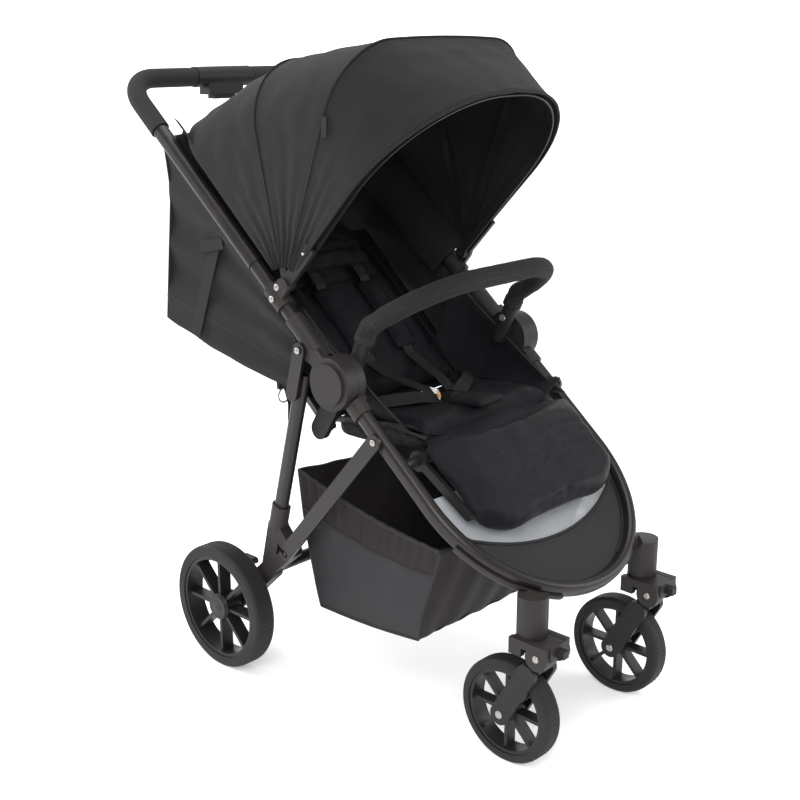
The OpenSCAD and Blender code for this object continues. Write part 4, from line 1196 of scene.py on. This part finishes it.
def netted(name, colour, rough, scale, see_through, **sockets):
    finish, tree, surface = plain_material(name, Base_Color=(*colour, 1), Roughness=rough, **sockets)
    loops = add_node(tree, "ShaderNodeGroup", {"node_tree": knit}, Scale=scale)
    keep = add_node(tree, "ShaderNodeMapRange", None, _1=0.0, _2=1.0, _3=1.0, _4=1.0 - see_through)
    tree.links.new(loops.outputs["Open"], keep.inputs[0])
    tree.links.new(keep.outputs["Result"], surface.inputs["Alpha"])
    bump_into(tree, surface, loops.outputs["Height"], 0.4, 0.0006)
    return finish


grey_mesh = netted("grey_mesh", (0.42, 0.44, 0.46), 0.85, 330.0, 0.75)
black_mesh = netted("black_mesh", (0.016, 0.014, 0.017), 0.7, 420.0, 0.65)
footrest_cloth = woven("footrest_cloth", (0.020, 0.020, 0.022), (0.032, 0.032, 0.034), 0.6, 0.8, 4200.0, 0.12,
                       0.0012)
basket_satin = woven("basket_satin", (0.014, 0.011, 0.013), (0.026, 0.020, 0.023), 0.38, 0.58, 6000.0, 1.0, 0.004)
binding_cloth = woven("binding_cloth", (0.020, 0.019, 0.021), (0.032, 0.031, 0.034), 0.6, 0.8, 3200.0, 0.1, 0.0008)
panel_low = Vector(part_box("footrest_panel")[0])
mesh_high = Vector(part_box("front_mesh")[1])
frame_half = 0.204
arc_reach = 0.532 * handle_run
hub_to_low = (Vector((0, panel_low.y, panel_low.z)) - Vector((0, hub.y, hub.z))).dot(-slope_dir)
loop_run = hub_to_low - frame_half


def down_slope(x, s, n):
    return Vector((x, *(hub - slope_dir * s + slope_up * n).yz))


panel_rows = []
for r in range(21):
    t = r / 20
    row = []
    for c in range(61):
        angle = math.pi * (c / 60)
        lip = Vector((-math.cos(angle) * frame_half, loop_run + math.sin(angle) * frame_half))
        reach = math.asin(min(1, 0.1965 / arc_reach)) * (c / 30 - 1)
        arc = Vector((arc_reach * math.sin(reach), arc_reach * math.cos(reach)))
        p = arc.lerp(lip, t)
        row.append(down_slope(p.x, p.y, -0.003 - 0.004 * math.sin(math.pi * t) * math.sin(angle)))
    panel_rows.append(row)
panel = cloth_grid("footrest_board", panel_rows, footrest_cloth, 0.0022)
declare_sheet(panel)
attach(panel, "front_frame")
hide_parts("footrest_panel")
cord_tube("footrest_binding", [p + slope_up * 0.0018 for p in panel_rows[0]], 0.0024, binding_cloth, "front_frame")
stitch_line("footrest_stitches", [p + slope_up * 0.0016 for p in panel_rows[2]], "front_frame")
net_rows = []
for r in range(25):
    t = r / 24
    row = []
    for c in range(61):
        x = 0.2 * (c / 30 - 1)
        arc_s = math.sqrt(arc_reach ** 2 - x ** 2)
        top_s = (Vector((0, mesh_high.y, mesh_high.z)) - Vector((0, hub.y, hub.z))).dot(-slope_dir)
        s = arc_s * (1 - t) + top_s * t
        dent = 0.006 * math.sin(math.pi * t) * math.cos(math.pi * x / 0.42)
        row.append(down_slope(x, s, -0.007 - dent + 0.0008 * math.sin(c * 0.9 + 6 * t)))
    net_rows.append(row)
net = cloth_grid("front_net", net_rows, grey_mesh, 0.0008)
declare_sheet(net)
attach(net, "front_frame")
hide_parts("front_mesh")

# --- Basket ---------------------------------------------------------------------------------
# A sewn basket hangs between the front frame and the rear legs: a bound edge, a gathered
# satin band, black net sides that sag, and solid cloth at both ends and along the floor.
basket_half = 0.188
rear_up, front_up = spot(0, -0.1304, 0.3806), spot(0, -0.4536, 0.3228)
toe, heel = spot(0, -0.3969, 0.1523), spot(0, -0.1701, 0.1380)


def basket_point(s, t, sign, puff=1.0):
    """s runs from rear to front, t from the rim down to the floor."""
    top = rear_up.lerp(front_up, s)
    top.z -= 0.010 * math.sin(math.pi * s)
    low = heel.lerp(toe, s)
    low.z -= 0.004 * math.sin(math.pi * s)
    p = top.lerp(low, t)
    bow = 0.006 * math.sin(math.pi * s) * math.sin(math.pi * min(1, t * 1.05))
    band = 1 - min(1, abs(t - 0.10) / 0.16)
    gathers = 0.0022 * band * math.sin(2 * math.pi * 13 * s + 1.3 * math.sin(9 * s)) if band > 0 else 0
    folds = 0.0035 * math.sin(7.3 * math.pi * (s + 0.24 * t)) * min(1, t * 2) * (1 - t)
    edge_in = 0.010 * t ** 4
    p.x = sign * (basket_half - 0.001 + puff * (bow + gathers + folds) - edge_in)
    return p


SPLIT = 0.265
for side, sign in SIDES:
    band_rows = [[basket_point(c / 120, SPLIT * r / 16, sign) for c in range(121)] for r in range(17)]
    net_rows = [[basket_point(c / 60, SPLIT + (1 - SPLIT) * r / 30, sign) for c in range(61)] for r in range(31)]
    if sign < 0:
        band_rows, net_rows = [row[::-1] for row in band_rows], [row[::-1] for row in net_rows]
    band = cloth_grid(f"basket_band_{side}", band_rows, basket_satin)
    declare_sheet(band)
    net = cloth_grid(f"basket_net_{side}", net_rows, black_mesh, 0.0008)
    declare_sheet(net)
    for piece in (band, net):
        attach(piece, "front_frame")
    for name, t, width in (("rim", 0.0, 0.0034), ("seam", SPLIT, 0.0018), ("hem", 1.0, 0.0024)):
        cord_tube(f"basket_{name}_{side}", [basket_point(s, t, sign) for s in np.linspace(0, 1, 90)], width,
                  binding_cloth, "front_frame")
    for name, s in (("rear", 0.0), ("front", 1.0)):
        cord_tube(f"basket_{name}_edge_{side}", [basket_point(s, t, sign) for t in np.linspace(0, 1, 40)], 0.0026,
                  binding_cloth, "front_frame")
for name, s, belly in (("front_wall", 1.0, -0.006), ("rear_wall", 0.0, 0.006)):
    rows = []
    for r in range(25):
        t = r / 24
        right, left = basket_point(s, t, -1, 0.0), basket_point(s, t, 1, 0.0)
        row = []
        for c in range(61):
            p = right.lerp(left, c / 60)
            p.y += belly * math.sin(math.pi * t) * math.sin(math.pi * c / 60) + 0.002 * math.sin(c * 0.55 + 3 * t)
            p.z -= 0.012 * (1 - t) * math.sin(math.pi * c / 60)
            row.append(p)
        rows.append(row)
    wall = cloth_grid(f"basket_{name}", rows, basket_satin)
    declare_sheet(wall)
    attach(wall, "front_frame")
    cord_tube(f"basket_{name}_rim", rows[0], 0.0030, binding_cloth, "front_frame")
floor_rows = []
for r in range(25):
    s = r / 24
    right, left = basket_point(s, 1.0, -1), basket_point(s, 1.0, 1)
    row = []
    for c in range(61):
        p = right.lerp(left, c / 60)
        p.z += 0.002 - 0.004 * math.sin(math.pi * c / 60) + 0.0012 * math.sin(c * 0.7 + 5 * s)
        row.append(p)
    floor_rows.append(row)
basket_floor = cloth_grid("basket_floor", floor_rows, basket_satin)
declare_sheet(basket_floor)
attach(basket_floor, "front_frame")
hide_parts("basket")
# --- Recline strap --------------------------------------------------------------------------
# Two webbing straps run from the seat's sides behind the backrest to one sliding lock, with
# a wire ring to pull.
lock_at = spot(0, 0.115, 0.455)
for side, sign in SIDES:
    strap(f"recline_strap_{side}", [on_back(0.262, sign * 0.150, -0.024), spot(sign * 0.120, 0.075, 0.590),
                                    spot(sign * 0.045, 0.108, 0.500), lock_at + Vector((sign * 0.008, 0, 0.008))],
          (0, 1, 0.2), 0.019, 0.0016, webbing, "backrest")
slider = pad_blank("recline_lock", lock_at + Vector((0, 0, 0.016)), lock_at - Vector((0, 0.001, 0.016)), 0.034, 0.010,
                   black_nylon, voxel=0.0015, round_off=0.3)
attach(slider, "backrest")
ring_points = [lock_at + Vector((0.014 * math.cos(a), 0.001, 0.014 * math.sin(a) - 0.030))
               for a in np.linspace(0, 2 * math.pi, 33)[:-1]]
cord_tube("recline_ring", ring_points, 0.0017, zinc, "backrest", closed=True)
strap("recline_tail", [lock_at + Vector((0.004, -0.004, -0.010)), lock_at + Vector((0.008, -0.012, -0.045)),
                       lock_at + Vector((0.010, -0.008, -0.080))], (1, 0, 0), 0.019, 0.0016, webbing,
      "backrest", count=14)

# --- Legrest pivots -------------------------------------------------------------------------
# Round plastic bosses with a pressed steel rivet hold the legrest arms.
for side, sign in SIDES:
    centre = Vector((sign * 0.1995, legrest_pivot.y, legrest_pivot.z))
    lathe(f"legrest_boss_{side}", centre, sign, [(0.0, 0.0035), (0.008, 0.0035), (0.0135, 0.0020), (0.0145, 0.0)],
          housing, "front_frame")
rivets("legrest_rivets", "front_frame", pair(legrest_pivot.y, legrest_pivot.z, 0.2030), 0.0048)
